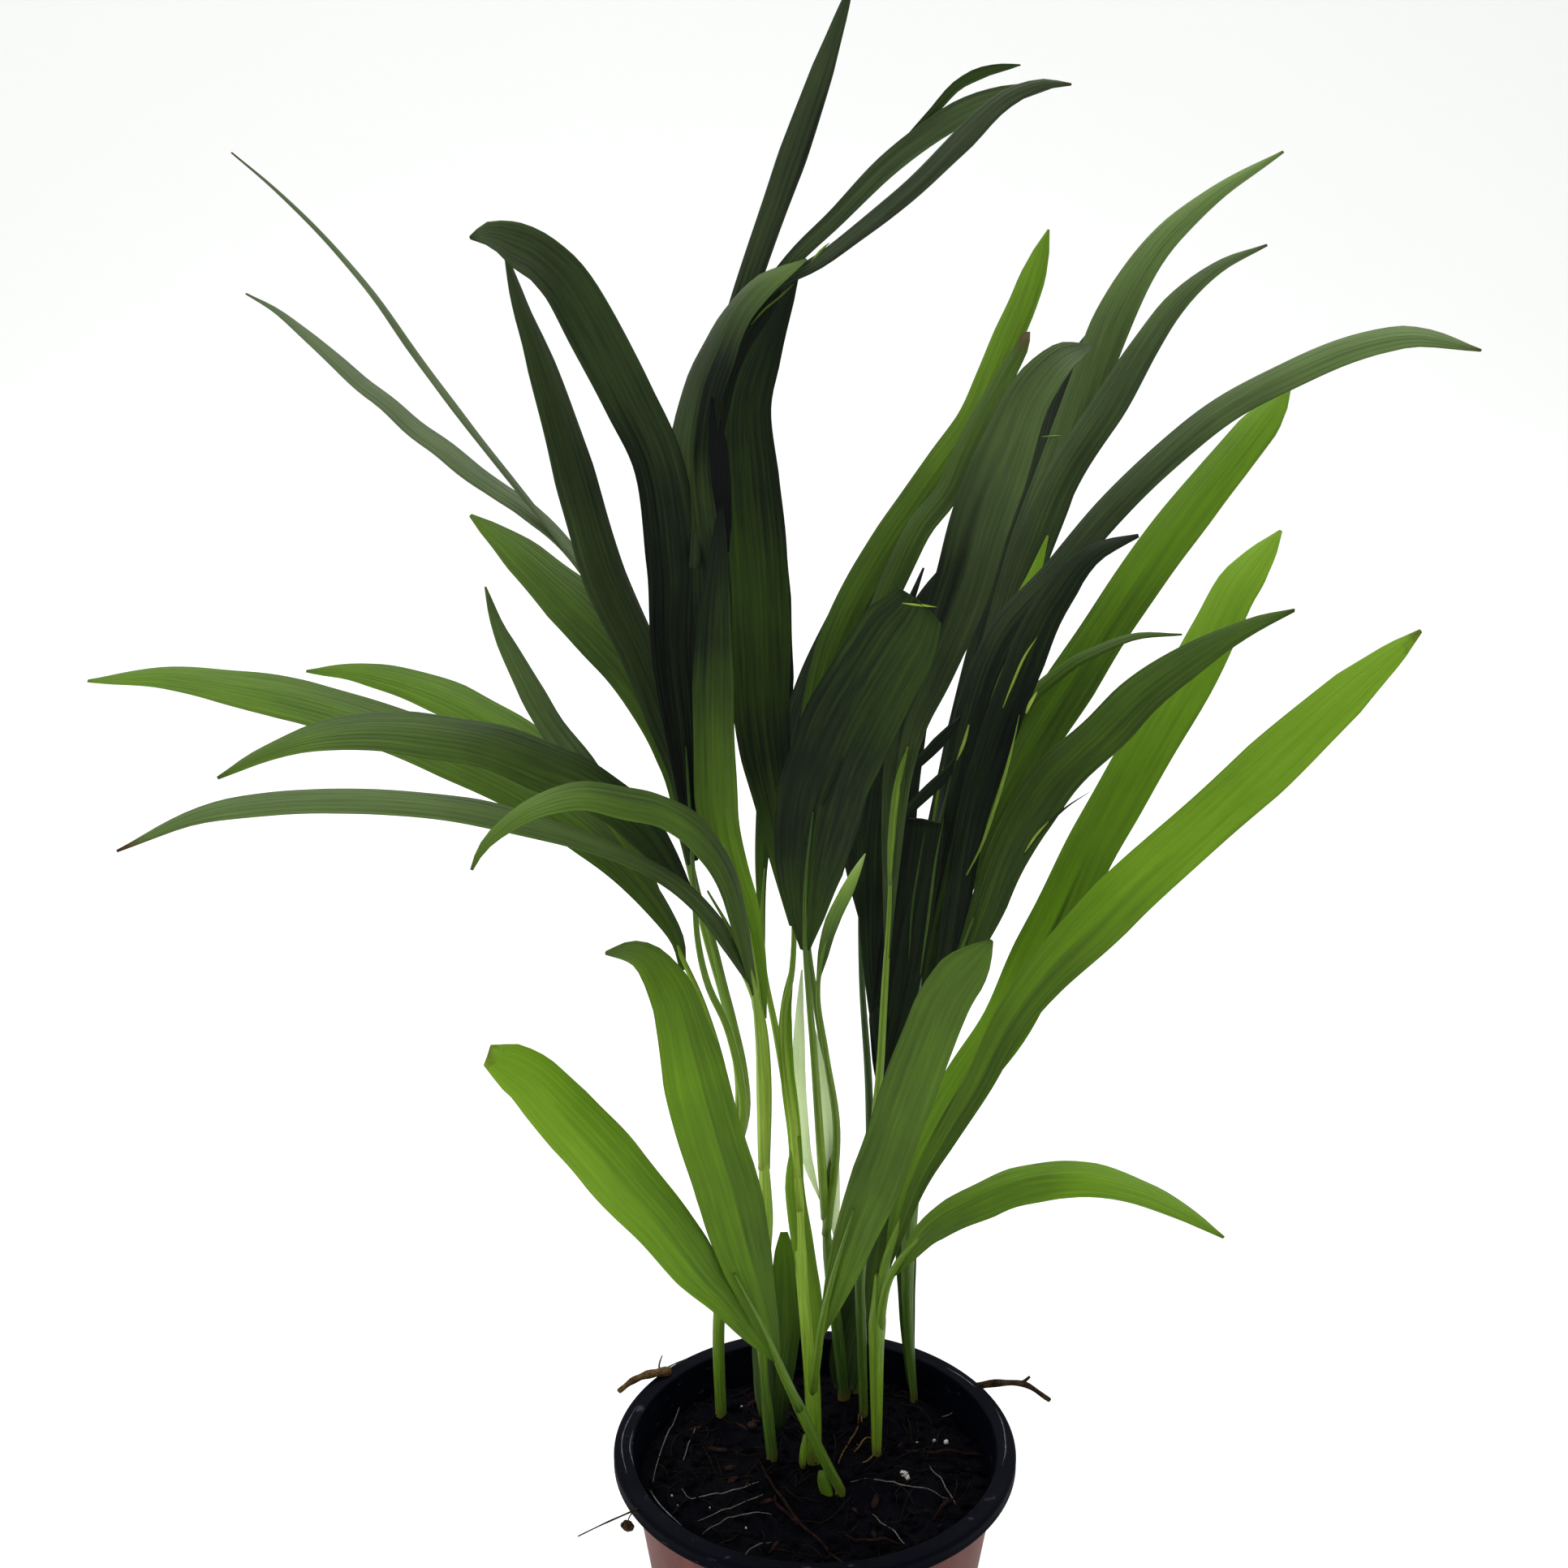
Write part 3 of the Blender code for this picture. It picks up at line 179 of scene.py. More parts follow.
SEEDLINGS = {
    "seedling_front": Seedling((1035, 1842), (1.4, 1.5), [
        (1012, 1792, 14), (985, 1735, 19), (964, 1690, 24),
    ], [
        Frond([(985, 1735, 19), (964, 1690, 24), (940, 1635, 31), (905, 1570, 41)], [
            Lobe(18, (10, 30), [
                (958, 1677, 26), (925, 1641, 32), (894, 1602, 38), (867, 1572, 44), (840, 1537, 50),
                (813, 1503, 54), (774, 1460, 60), (734, 1414, 66), (693, 1371, 71), (648, 1326, 75),
                (600, 1300, 77),
            ], "blunt"),
            Lobe(18.5, (10, 30), [
                (958, 1677, 26), (936, 1605, 33), (915, 1533, 40), (897, 1466, 47), (872, 1388, 53),
                (850, 1305, 57), (834, 1243, 60), (824, 1218, 61), (811, 1195, 60), (797, 1179, 57),
                (775, 1171, 52), (747, 1174, 46),
            ]),
        ]),
    ]),
    "seedling_left": Seedling((888, 1745), (1.6, 1.8), [
        (885, 1640, -27), (892, 1540, -27), (897, 1440, -27), (897, 1350, -27),
    ], [
        Frond([(897, 1440, -27), (893, 1340, -27), (868, 1245, -26), (838, 1175, -24), (803, 1105, -22)], [
            Lobe(19.5, (35, 55), [
                (842, 1195, -25), (830, 1148, -24), (772, 1072, -21), (693, 1005, -19), (612, 955, -19),
                (530, 917, -20), (451, 888, -24), (370, 864, -29), (290, 847, -35), (200, 834, -42),
                (109, 839, -50),
            ]),
            Lobe(16.5, (35, 50), [
                (830, 1155, -24), (782, 1067, -24), (717, 988, -30), (653, 922, -38), (585, 877, -46),
                (515, 846, -54), (440, 828, -61), (378, 827, -66),
            ]),
        ]),
        Frond([
            (897, 1440, -27), (915, 1380, -27), (911, 1325, -26), (896, 1265, -25), (873, 1215, -23),
            (860, 1160, -21), (855, 1090, -19), (850, 1000, -15), (845, 920, -12),
        ], [
            Lobe(15, (15, 35), [
                (855, 1060, -18), (843, 920, -12), (830, 800, -8), (829, 691, -4), (812, 575, 2),
                (775, 492, 9), (729, 404, 18), (697, 351, 26), (664, 318, 34), (635, 303, 40),
                (607, 292, 45), (580, 293, 50),
            ], "late"),
            Lobe(18.6, (5, -74), [
                (855, 1060, -18), (869, 920, -14), (867, 800, -11), (861, 680, -8), (854, 570, -5),
                (866, 490, -2), (885, 440, 1), (909, 391, 4), (941, 353, 6), (994, 320, 7),
            ], "late"),
            Lobe(6.5, (0, 20), [
                (915, 396, 1), (947, 355, 2), (985, 311, 2), (1029, 269, 2), (1091, 206, -1),
                (1153, 158, -5), (1204, 129, -9), (1258, 113, -13), (1307, 103, -16),
            ], "spear"),
            Lobe(5.8, (0, -30), [
                (930, 374, 3), (962, 347, 5), (1006, 324, 7), (1050, 292, 9), (1120, 236, 11),
                (1178, 180, 12), (1233, 127, 12), (1279, 105, 11), (1320, 104, 10),
            ], "spear"),
            Lobe(3.3, (0, 40), [
                (1110, 180, -3), (1150, 137, -8), (1180, 105, -14), (1215, 88, -20), (1257, 80, -26),
            ], "spear"),
            Lobe(7.5, (0, 10), [
                (856, 700, -4), (867, 560, -9), (893, 440, -13), (932, 319, -18), (987, 163, -24),
                (1023, 59, -28), (1051, -24, -31),
            ], "spear"),
        ]),
        Frond([
            (897, 1440, -28), (917, 1375, -31), (915, 1320, -33), (903, 1262, -35), (890, 1210, -36),
            (878, 1160, -37), (860, 1100, -38), (846, 1030, -39), (832, 960, -40),
        ], [
            Lobe(18, (10, 25), [
                (850, 1065, -38), (839, 935, -42), (794, 841, -50), (734, 771, -58), (679, 718, -66),
                (631, 674, -74), (580, 635, -82),
            ]),
            Lobe(15, (35, 42), [
                (850, 1065, -38), (839, 950, -30), (813, 870, -24), (786, 800, -20), (760, 745, -17),
                (741, 700, -15), (717, 618, -13), (689, 520, -11), (660, 430, -10), (644, 386, -10),
                (631, 343, -12), (623, 313, -13),
            ]),
        ]),
        Frond([
            (897, 1430, -29), (911, 1365, -34), (907, 1300, -39), (893, 1235, -44), (869, 1150, -49),
            (845, 1050, -56), (815, 930, -66), (772, 790, -78), (735, 715, -86),
        ], [
            Lobe(10, (42, 62), [
                (755, 760, -80), (701, 677, -90), (651, 630, -97), (616, 606, -101), (581, 582, -104),
                (546, 553, -108), (511, 528, -111), (478, 498, -114), (444, 472, -117), (410, 441, -120),
                (373, 409, -123), (339, 382, -126), (303, 362, -128),
            ]),
            Lobe(5, (58, 70), [
                (755, 760, -80), (690, 668, -90), (634, 597, -95), (578, 526, -98), (512, 438, -101),
                (466, 372, -102), (427, 324, -104), (385, 278, -105), (335, 230, -107), (285, 188, -108),
            ]),
        ]),
    ]),
    "seedling_mid_left": Seedling((951, 1797), (1.8, 2.5), [
        (942, 1700, -7), (937, 1600, -8), (943, 1500, -8), (940, 1400, -8),
    ], [
        Frond([
            (941, 1440, -8), (938, 1340, -6), (934, 1265, 1), (926, 1205, 9), (902, 1150, 20),
            (872, 1098, 30),
        ], [
            Lobe(11, (56, 35), [
                (930, 1222, 6), (914, 1149, 18), (895, 1082, 30), (861, 1031, 44), (815, 1001, 60),
                (765, 989, 76), (712, 982, 90), (657, 997, 102), (618, 1022, 108), (594, 1046, 112),
                (581, 1072, 115),
            ], "based"),
            Lobe(11, (50, 60), [
                (927, 1210, 8), (898, 1162, 19), (859, 1113, 30), (812, 1077, 39), (741, 1044, 52),
                (661, 1019, 64), (591, 1002, 73), (510, 991, 82), (420, 987, 91), (330, 991, 99),
                (239, 1007, 106), (144, 1049, 112),
            ], "early"),
        ]),
        Frond([
            (941, 1440, -8), (944, 1340, -9), (938, 1260, -6), (918, 1200, -1), (880, 1145, 6),
            (838, 1085, 14), (790, 1028, 22),
        ], [
            Lobe(9, (25, 40), [
                (855, 1110, 11), (800, 1045, 12), (751, 995, 10), (720, 949, 6), (678, 893, 0),
                (645, 834, -6), (614, 773, -12), (598, 723, -16),
            ]),
            Lobe(17, (30, 58), [
                (855, 1110, 11), (797, 1024, 24), (731, 972, 34), (663, 942, 42), (599, 919, 50),
                (530, 907, 57), (460, 902, 64), (390, 909, 71), (325, 930, 77), (268, 959, 82),
            ]),
        ]),
        Frond([
            (941, 1430, -9), (938, 1340, -10), (936, 1260, -12), (930, 1200, -14), (921, 1145, -14),
            (904, 1090, -13), (889, 1030, -11),
        ], [
            Lobe(12, (-10, -20), [
                (937, 1255, -12), (932, 1195, -14), (919, 1130, -14), (901, 1074, -12), (885, 1010, -9),
                (881, 945, -5), (879, 870, -1), (880, 790, 2), (884, 710, 5), (889, 620, 8),
            ], "based"),
            Lobe(9, (0, 0), [
                (955, 1762, -8), (960, 1700, -9), (968, 1640, -10), (968, 1590, -11), (967, 1555, -11),
                (966, 1518, -11),
            ], "sheath"),
            Lobe(6.5, (0, 0), [
                (944, 1745, -6), (941, 1700, -6), (940, 1650, -7), (941, 1590, -8),
            ], "sheath"),
        ]),
    ]),
    "seedling_centre": Seedling((1003, 1800), (2.1, 2.3), [
        (1001, 1715, -4), (996, 1640, -4), (988, 1540, -4), (983, 1450, -4),
    ], [
        Frond([
            (985, 1490, -4), (978, 1390, -6), (968, 1310, -10), (966, 1250, -13), (976, 1195, -15),
            (978, 1130, -18), (970, 1050, -23), (958, 970, -28),
        ], [
            Lobe(18.5, (15, 10), [
                (977, 1140, -17), (959, 1020, -25), (940, 901, -34), (936, 790, -41), (931, 681, -47),
                (922, 580, -52), (920, 500, -55), (940, 432, -58), (965, 371, -61), (985, 325, -64),
            ]),
            Lobe(13, (10, 20), [
                (977, 1140, -17), (967, 1080, -28), (971, 1000, -44), (986, 910, -62), (1025, 800, -86),
                (1079, 704, -106), (1133, 630, -125),
            ]),
            Lobe(4.2, (0, 0), [
                (984, 1490, -4), (979, 1400, -6), (970, 1320, -10), (968, 1250, -13), (975, 1195, -15),
            ], "sheath"),
        ]),
        Frond([(1001, 1715, -4), (1006, 1680, 3), (1014, 1625, 14), (1030, 1560, 24), (1052, 1490, 33)], [
            Lobe(14, (-15, 5), [
                (1012, 1645, 10), (1033, 1581, 21), (1056, 1515, 31), (1086, 1438, 41), (1118, 1347, 51),
                (1143, 1282, 58), (1161, 1238, 62), (1180, 1207, 65), (1200, 1184, 67), (1222, 1159, 69),
            ], "late"),
            Lobe(6.5, (0, 0), [
                (1002, 1690, -3), (1002, 1620, -3), (990, 1540, -3), (979, 1460, -4), (983, 1400, -5),
            ], "sheath"),
        ]),
        Frond([
            (981, 1440, -5), (973, 1368, -10), (957, 1275, -20), (942, 1197, -30), (939, 1130, -38),
            (942, 1070, -46),
        ], [
            Lobe(12, (-10, -20), [
                (940, 1165, -34), (938, 1070, -47), (947, 960, -64), (955, 850, -82), (952, 760, -96),
                (952, 680, -108), (958, 610, -119),
            ], "joined"),
        ]),
    ]),
    "seedling_inner_right": Seedling((1040, 1722), (2.2, 1.8), [
        (1032, 1640, -35), (1022, 1560, -31), (1016, 1480, -27),
    ], [
        Frond([
            (1017, 1500, -28), (1010, 1400, -18), (1003, 1300, -8), (997, 1230, 0), (992, 1160, 8),
            (993, 1080, 18), (1002, 1000, 28),
        ], [
            Lobe(23.5, (-5, -25), [
                (992, 1170, 7), (995, 1080, 19), (1010, 990, 32), (1036, 915, 44), (1070, 850, 54),
                (1098, 802, 60), (1120, 770, 63), (1133, 746, 65),
            ], "folded"),
            Lobe(5, (-30, -60), [
                (1010, 990, 30), (1046, 905, 42), (1080, 830, 50), (1110, 771, 56), (1138, 700, 61),
            ], "spear"),
        ]),
        Frond([
            (1017, 1490, -28), (1023, 1400, -27), (1015, 1300, -26), (1003, 1220, -26), (993, 1140, -27),
            (988, 1050, -32), (990, 950, -38),
        ], [
            Lobe(10, (-10, -30), [
                (990, 1090, -29), (990, 960, -37), (1001, 890, -41), (1020, 810, -44), (1050, 740, -47),
                (1091, 670, -51), (1126, 620, -55), (1162, 569, -58), (1197, 519, -63), (1220, 467, -68),
                (1242, 415, -73), (1264, 364, -78), (1292, 283, -84),
            ], "late"),
            Lobe(10.5, (-35, -52), [
                (991, 1084, -30), (1008, 960, -31), (1037, 870, -32), (1077, 771, -33), (1110, 696, -36),
                (1134, 649, -40), (1167, 607, -45), (1187, 562, -50), (1211, 516, -54), (1237, 465, -60),
                (1258, 428, -64), (1264, 411, -67),
            ], "blunt"),
        ]),
        Frond([
            (1018, 1520, -28), (1031, 1400, -22), (1018, 1300, -16), (1008, 1225, -12), (1018, 1160, -12),
            (1040, 1105, -12),
        ], [
            Lobe(4.4, (-20, -20), [
                (1006, 1215, -12), (1022, 1145, -12), (1045, 1095, -11), (1066, 1052, -10),
            ]),
            Lobe(11.5, (0, 0), [
                (1040, 1712, -35), (1043, 1675, -35), (1050, 1635, -35), (1059, 1595, -34),
                (1064, 1555, -34),
            ], "sheath"),
        ]),
    ]),
    "seedling_right": Seedling((1080, 1790), (1.4, 2.6), [
        (1080, 1715, -6), (1080, 1640, -5), (1082, 1570, -4),
    ], [
        Frond([(1083, 1620, -5), (1092, 1555, -3), (1120, 1485, 2), (1155, 1415, 6), (1192, 1345, 9)], [
            Lobe(16.5, (-20, -35), [
                (1092, 1560, -3), (1115, 1470, 2), (1147, 1401, 5), (1189, 1332, 8), (1237, 1265, 8),
                (1273, 1192, 7), (1305, 1129, 5), (1340, 1053, 2), (1376, 989, -3), (1421, 909, -10),
                (1469, 830, -18), (1500, 770, -25), (1527, 719, -31), (1578, 654, -38),
            ], "late"),
            Lobe(16.5, (-20, -38), [
                (1092, 1565, -4), (1130, 1465, 6), (1166, 1401, 11), (1205, 1335, 17), (1243, 1262, 22),
                (1290, 1199, 27), (1347, 1141, 32), (1401, 1088, 36), (1481, 1017, 42), (1561, 945, 47),
                (1637, 876, 52), (1698, 822, 56), (1751, 777, 58),
            ], "long"),
        ]),
        Frond([(1083, 1640, -5), (1094, 1580, 2), (1120, 1540, 8), (1160, 1505, 14), (1200, 1484, 20)], [
            Lobe(15.5, (-40, -55), [
                (1098, 1572, 3), (1145, 1515, 12), (1206, 1481, 24), (1270, 1459, 36), (1340, 1455, 48),
                (1404, 1470, 58), (1459, 1495, 66), (1508, 1525, 72),
            ]),
        ]),
        Frond([
            (1088, 1590, -5), (1098, 1500, -12), (1118, 1400, -12), (1142, 1300, -6), (1170, 1210, 2),
            (1200, 1130, 10),
        ], [
            Lobe(15, (-25, -45), [
                (1165, 1240, 0), (1211, 1130, 9), (1245, 1044, 18), (1295, 966, 27), (1359, 904, 36),
                (1416, 849, 44), (1481, 805, 52), (1542, 772, 59), (1595, 752, 65),
            ]),
            Lobe(13, (-20, -45), [
                (1160, 1240, 0), (1178, 1120, 2), (1197, 1010, 3), (1224, 920, 4), (1254, 839, 5),
                (1281, 772, 6), (1312, 721, 8), (1330, 698, 9), (1350, 681, 10), (1371, 671, 11),
                (1403, 660, 12),
            ], "spear"),
            Lobe(6.5, (0, 0), [
                (1081, 1660, -6), (1079, 1580, -5), (1087, 1520, -4), (1098, 1450, -2),
            ], "sheath"),
        ]),
    ]),
    "seedling_far_right": Seedling((1126, 1726), (1.1, 2.9), [
        (1120, 1650, -38), (1118, 1570, -38), (1122, 1470, -39), (1128, 1390, -40),
    ], [
        Frond([
            (1124, 1440, -39), (1136, 1330, -42), (1152, 1220, -46), (1170, 1130, -50), (1192, 1050, -54),
        ], [
            Lobe(17, (-20, -40), [
                (1160, 1185, -47), (1189, 1080, -53), (1230, 991, -58), (1273, 916, -64), (1320, 841, -70),
                (1373, 759, -77), (1423, 686, -84), (1472, 622, -91), (1525, 557, -98), (1589, 478, -106),
            ], "late"),
            Lobe(6, (-30, -60), [
                (1160, 1185, -47), (1190, 1060, -40), (1225, 950, -34), (1262, 870, -30), (1312, 824, -28),
                (1352, 802, -28), (1400, 784, -30), (1456, 782, -34),
            ], "spear"),
        ]),
        Frond([
            (1126, 1420, -40), (1128, 1300, -35), (1132, 1190, -28), (1143, 1080, -21), (1167, 980, -18),
            (1189, 890, -15),
        ], [
            Lobe(11, (-30, -55), [
                (1130, 1225, -31), (1146, 1110, -24), (1168, 1000, -19), (1194, 885, -14),
                (1234, 783, -10), (1300, 708, -6), (1367, 630, -1), (1437, 562, 11), (1508, 506, 25),
                (1590, 462, 38), (1670, 429, 48), (1745, 416, 57), (1825, 432, 65),
            ], "late"),
            Lobe(8, (-20, -30), [
                (1140, 1100, -22), (1162, 1000, -26), (1192, 900, -31), (1235, 800, -38), (1269, 722, -44),
                (1291, 660, -50),
            ]),
            Lobe(12, (-5, -15), [
                (1129, 1300, -37), (1136, 1230, -37), (1149, 1150, -38), (1168, 1080, -40),
                (1187, 1010, -44), (1203, 940, -48), (1222, 880, -52),
            ]),
            Lobe(6.5, (0, 0), [
                (1124, 1710, -38), (1119, 1650, -38), (1117, 1590, -38), (1117, 1530, -38),
                (1124, 1470, -39),
            ], "spear"),
        ]),
    ]),
    "seedling_back": Seedling((1064, 1745), (1.4, 1.8), [
        (1062, 1660, -25), (1060, 1570, -22), (1066, 1480, -18),
    ], [
        Frond([
            (1065, 1500, -19), (1076, 1400, -14), (1084, 1320, -9), (1090, 1220, -3), (1096, 1120, 4),
            (1100, 1020, 11), (1118, 920, 19),
        ], [
            Lobe(15.5, (-10, -30), [
                (1093, 1180, 0), (1097, 1080, 7), (1102, 990, 14), (1110, 930, 18), (1123, 880, 22),
                (1146, 825, 27), (1183, 729, 34), (1208, 641, 39), (1238, 560, 42), (1267, 489, 43),
                (1306, 441, 38), (1344, 425, 26),
            ], "joined"),
            Lobe(3.3, (0, 0), [
                (1099, 1000, 14), (1108, 968, 13), (1122, 948, 12), (1140, 932, 11), (1168, 902, 9),
                (1184, 882, 7),
            ], "spear"),
            Lobe(3.5, (0, 0), [
                (1097, 1045, 9), (1106, 1018, 9), (1118, 1001, 8), (1132, 986, 7), (1167, 952, 5),
                (1175, 936, 4),
            ], "spear"),
            Lobe(16, (10, -10), [
                (1085, 1310, -8), (1086, 1180, -12), (1090, 1060, -18), (1101, 951, -26), (1115, 851, -36),
                (1137, 759, -48), (1172, 689, -60),
            ]),
            Lobe(14, (0, 0), [
                (1085, 1345, -11), (1090, 1290, -10), (1104, 1210, -7), (1118, 1130, -3), (1128, 1065, 1),
                (1135, 1012, 4),
            ], "cut"),
        ]),
    ]),
    "seedling_far_back": Seedling((1052, 1715), (2.1, 1.8), [
        (1056, 1600, -46), (1066, 1500, -50), (1080, 1400, -52),
    ], [
        Frond([
            (1073, 1450, -51), (1092, 1330, -54), (1110, 1210, -58), (1130, 1100, -62), (1154, 1000, -66),
            (1185, 900, -70),
        ], [
            Lobe(15.5, (-15, -50), [
                (1148, 1030, -65), (1198, 900, -71), (1235, 789, -76), (1265, 688, -81), (1302, 588, -86),
                (1336, 490, -91), (1373, 390, -96), (1425, 305, -101), (1496, 240, -106),
                (1581, 187, -111),
            ]),
            Lobe(14, (-20, -50), [
                (1148, 1030, -65), (1206, 890, -68), (1237, 774, -70), (1268, 683, -72), (1308, 589, -74),
                (1365, 502, -76), (1410, 428, -78), (1451, 371, -80), (1503, 328, -82), (1561, 302, -84),
            ]),
            Lobe(12, (-10, -40), [
                (1136, 1075, -63), (1150, 1020, -67), (1186, 900, -78), (1213, 800, -85), (1249, 690, -91),
                (1284, 590, -97), (1310, 499, -102), (1329, 450, -106), (1350, 400, -110),
            ], "late"),
        ]),
        Frond([
            (1073, 1450, -51), (1070, 1330, -58), (1062, 1210, -68), (1060, 1100, -80), (1066, 1000, -92),
        ], [
            Lobe(16, (-10, 10), [
                (1061, 1130, -76), (1055, 1010, -92), (1058, 900, -108), (1074, 800, -124),
                (1095, 725, -138),
            ]),
        ]),
    ]),
}
lobe_count = sum(len(frond.lobes) for plant in SEEDLINGS.values() for frond in plant.fronds)
print(len(SEEDLINGS), "seedlings with", lobe_count, "lobes")

# %% [markdown]
# ## How each leaf is lit and worn
# Against a bright white, a leaf of the real plant glows where light comes through one layer, and is
# nearly black where leaves lie behind each other. Lights alone would need the true depth of every
# leaf, so each lobe is given the brightness that it shows, and the lights only model it.

# %% How each leaf is lit and worn
# How lit each lobe looks from root to tip, in the order of the seedling's lobes
LIT = {
    "seedling_front": [(0.46, 0.62, 0.78, 0.8), (0.42, 0.54, 0.64, 0.45)],
    "seedling_left": [
        (0.34, 0.42, 0.5, 0.64), (0.38, 0.52, 0.6), (0.12, 0.06, 0.2, 0.3),
        (0.1, 0.04, 0.06, 0.26, 0.2, 0.56),
        (0.2, 0.36, 0.4), (0.2, 0.28, 0.3), (0.2, 0.25, 0.3), (0.16, 0.22, 0.26),
        (0.4, 0.34, 0.55), (0.24, 0.26, 0.28), (0.44, 0.5, 0.5), (0.4, 0.44, 0.44),
    ],
    "seedling_mid_left": [
        (0.32, 0.44, 0.52), (0.26, 0.42, 0.5), (0.22, 0.34, 0.4), (0.14, 0.36, 0.5),
        (0.5, 0.62, 0.46, 0.16, 0.04), (0.16, 0.36, 0.6), (0.3, 0.26),
    ],
    "seedling_centre": [
        (0.4, 0.14, 0.26, 0.14, 0.12), (0.16, 0.12, 0.16), (0.9, 0.85, 0.5), (0.5, 0.45, 0.46),
        (0.55, 0.66), (0.55, 0.12, 0.1, 0.1),
    ],
    "seedling_inner_right": [
        (0.28, 0.12, 0.22), (0.12, 0.1, 0.1), (0.4, 0.32, 0.5, 0.66), (0.26, 0.32, 0.38),
        (0.34, 0.4, 0.7, 1.3), (0.2, 0.3),
    ],
    "seedling_right": [
        (0.4, 0.7, 0.62, 0.84), (0.36, 0.52, 0.74, 0.78), (0.46, 0.62, 0.68), (0.28, 0.32, 0.4),
        (0.1, 0.08, 0.14), (0.42, 0.34, 0.24),
    ],
    "seedling_far_right": [
        (0.24, 0.42, 0.66, 0.72), (0.3, 0.45, 0.4), (0.08, 0.1, 0.2, 0.42, 0.56), (0.6, 0.7, 0.75),
        (0.12, 0.2, 0.2), (0.24, 0.26),
    ],
    "seedling_back": [(0.26, 0.36, 0.2, 0.34, 0.4), (0.04, 0.04), (0.04, 0.04), (0.1, 0.1), (0.08, 0.05)],
    "seedling_far_back": [
        (0.1, 0.22, 0.44, 0.64), (0.12, 0.24, 0.34, 0.42), (0.1, 0.14, 0.16), (0.1, 0.1),
    ],
}

# How pale and grey a lobe is, and how brown its tip, by the lobe's place in the same lists. The
# places after the last lobe are those of the seedling's sheaths
PALE = {
    "seedling_left": {0: 0.1, 2: 0.4, 3: 0.3, 4: 0.6, 5: 0.8, 7: 0.6, 8: 0.1, 9: 0.45, 10: 0.8, 11: 0.8},
    "seedling_mid_left": {0: 0.15, 1: 0.4, 2: 0.4, 3: 0.1, 6: 0.3},
    "seedling_centre": {3: 0.1}, "seedling_back": {0: 0.45}, "seedling_inner_right": {4: 0.3, 5: 0.3},
    "seedling_far_right": {2: 0.45}, "seedling_far_back": {0: 0.4, 1: 0.45, 2: 0.3},
}
BROWNED = {
    "seedling_front": {0: 0.45, 2: 0.7}, "seedling_left": {4: 0.8, 5: 0.7, 6: 0.6, 10: 0.6, 11: 0.7},
    "seedling_inner_right": {3: 0.8, 2: 0.3, 4: 0}, "seedling_mid_left": {1: 0.8, 3: 0.4, 5: 0, 6: 0.4},
    "seedling_far_right": {2: 0.5}, "seedling_right": {1: 0.5, 3: 0.4, 5: 0},
    "seedling_far_back": {0: 0.4, 1: 0.5}, "seedling_centre": {2: 0, 4: 0}, "seedling_back": {4: 0},
}

# Painted shade along a fold of a lobe and over the side beyond it: how far across, from -1 to 1,
# how dark, and where it starts and ends
PAINTED_FOLD_SHADE = {
    "seedling_front": {0: (-0.1, 0.2, 0.1, 0.9), 1: (0.15, 0.14, 0.2, 0.8)},
    "seedling_right": {0: (0.1, 0.24, 0.15, 0.6), 1: (0.2, 0.2, 0.1, 0.7), 2: (0.0, 0.16, 0.1, 0.7)},
    "seedling_far_right": {0: (0.2, 0.14, 0.3, 0.8), 3: (0.1, 0.16, 0.2, 0.8)},
    "seedling_mid_left": {0: (0.1, 0.1, 0.2, 0.8), 3: (-0.1, 0.1, 0.2, 0.7)},
    "seedling_back": {0: (0.25, 0.1, 0.2, 0.8)},
    "seedling_left": {3: (0.3, 0.24, 0.6, 0.9)},
}

# How lit each seedling's stem is, and each frond's stalk, at the root and at the end
STALK_LIT = {
    "seedling_front": [(0.36, 0.4), (0.4, 0.5)],
    "seedling_left": [(0.42, 0.8), (0.8, 0.6), (0.7, 0.2), (0.7, 0.24), (0.7, 0.3)],
    "seedling_mid_left": [(0.24, 0.95), (0.95, 0.45), (0.95, 0.4), (0.95, 0.6)],
    "seedling_centre": [(0.46, 0.9), (0.9, 0.2), (0.5, 0.44), (0.8, 0.5)],
    "seedling_inner_right": [(0.15, 0.5), (0.7, 0.2), (0.5, 0.34), (0.6, 0.5)],
    "seedling_right": [(0.62, 0.5), (0.5, 0.46), (0.5, 0.5), (0.26, 0.28)],
    "seedling_far_right": [(0.26, 0.42), (0.24, 0.26), (0.2, 0.12)],
    "seedling_back": [(0.3, 0.32), (0.62, 0.6)],
    "seedling_far_back": [(0.2, 0.3), (0.24, 0.2), (0.2, 0.14)],
}

print("tones are given for", sum(map(len, LIT.values())), "lobes")
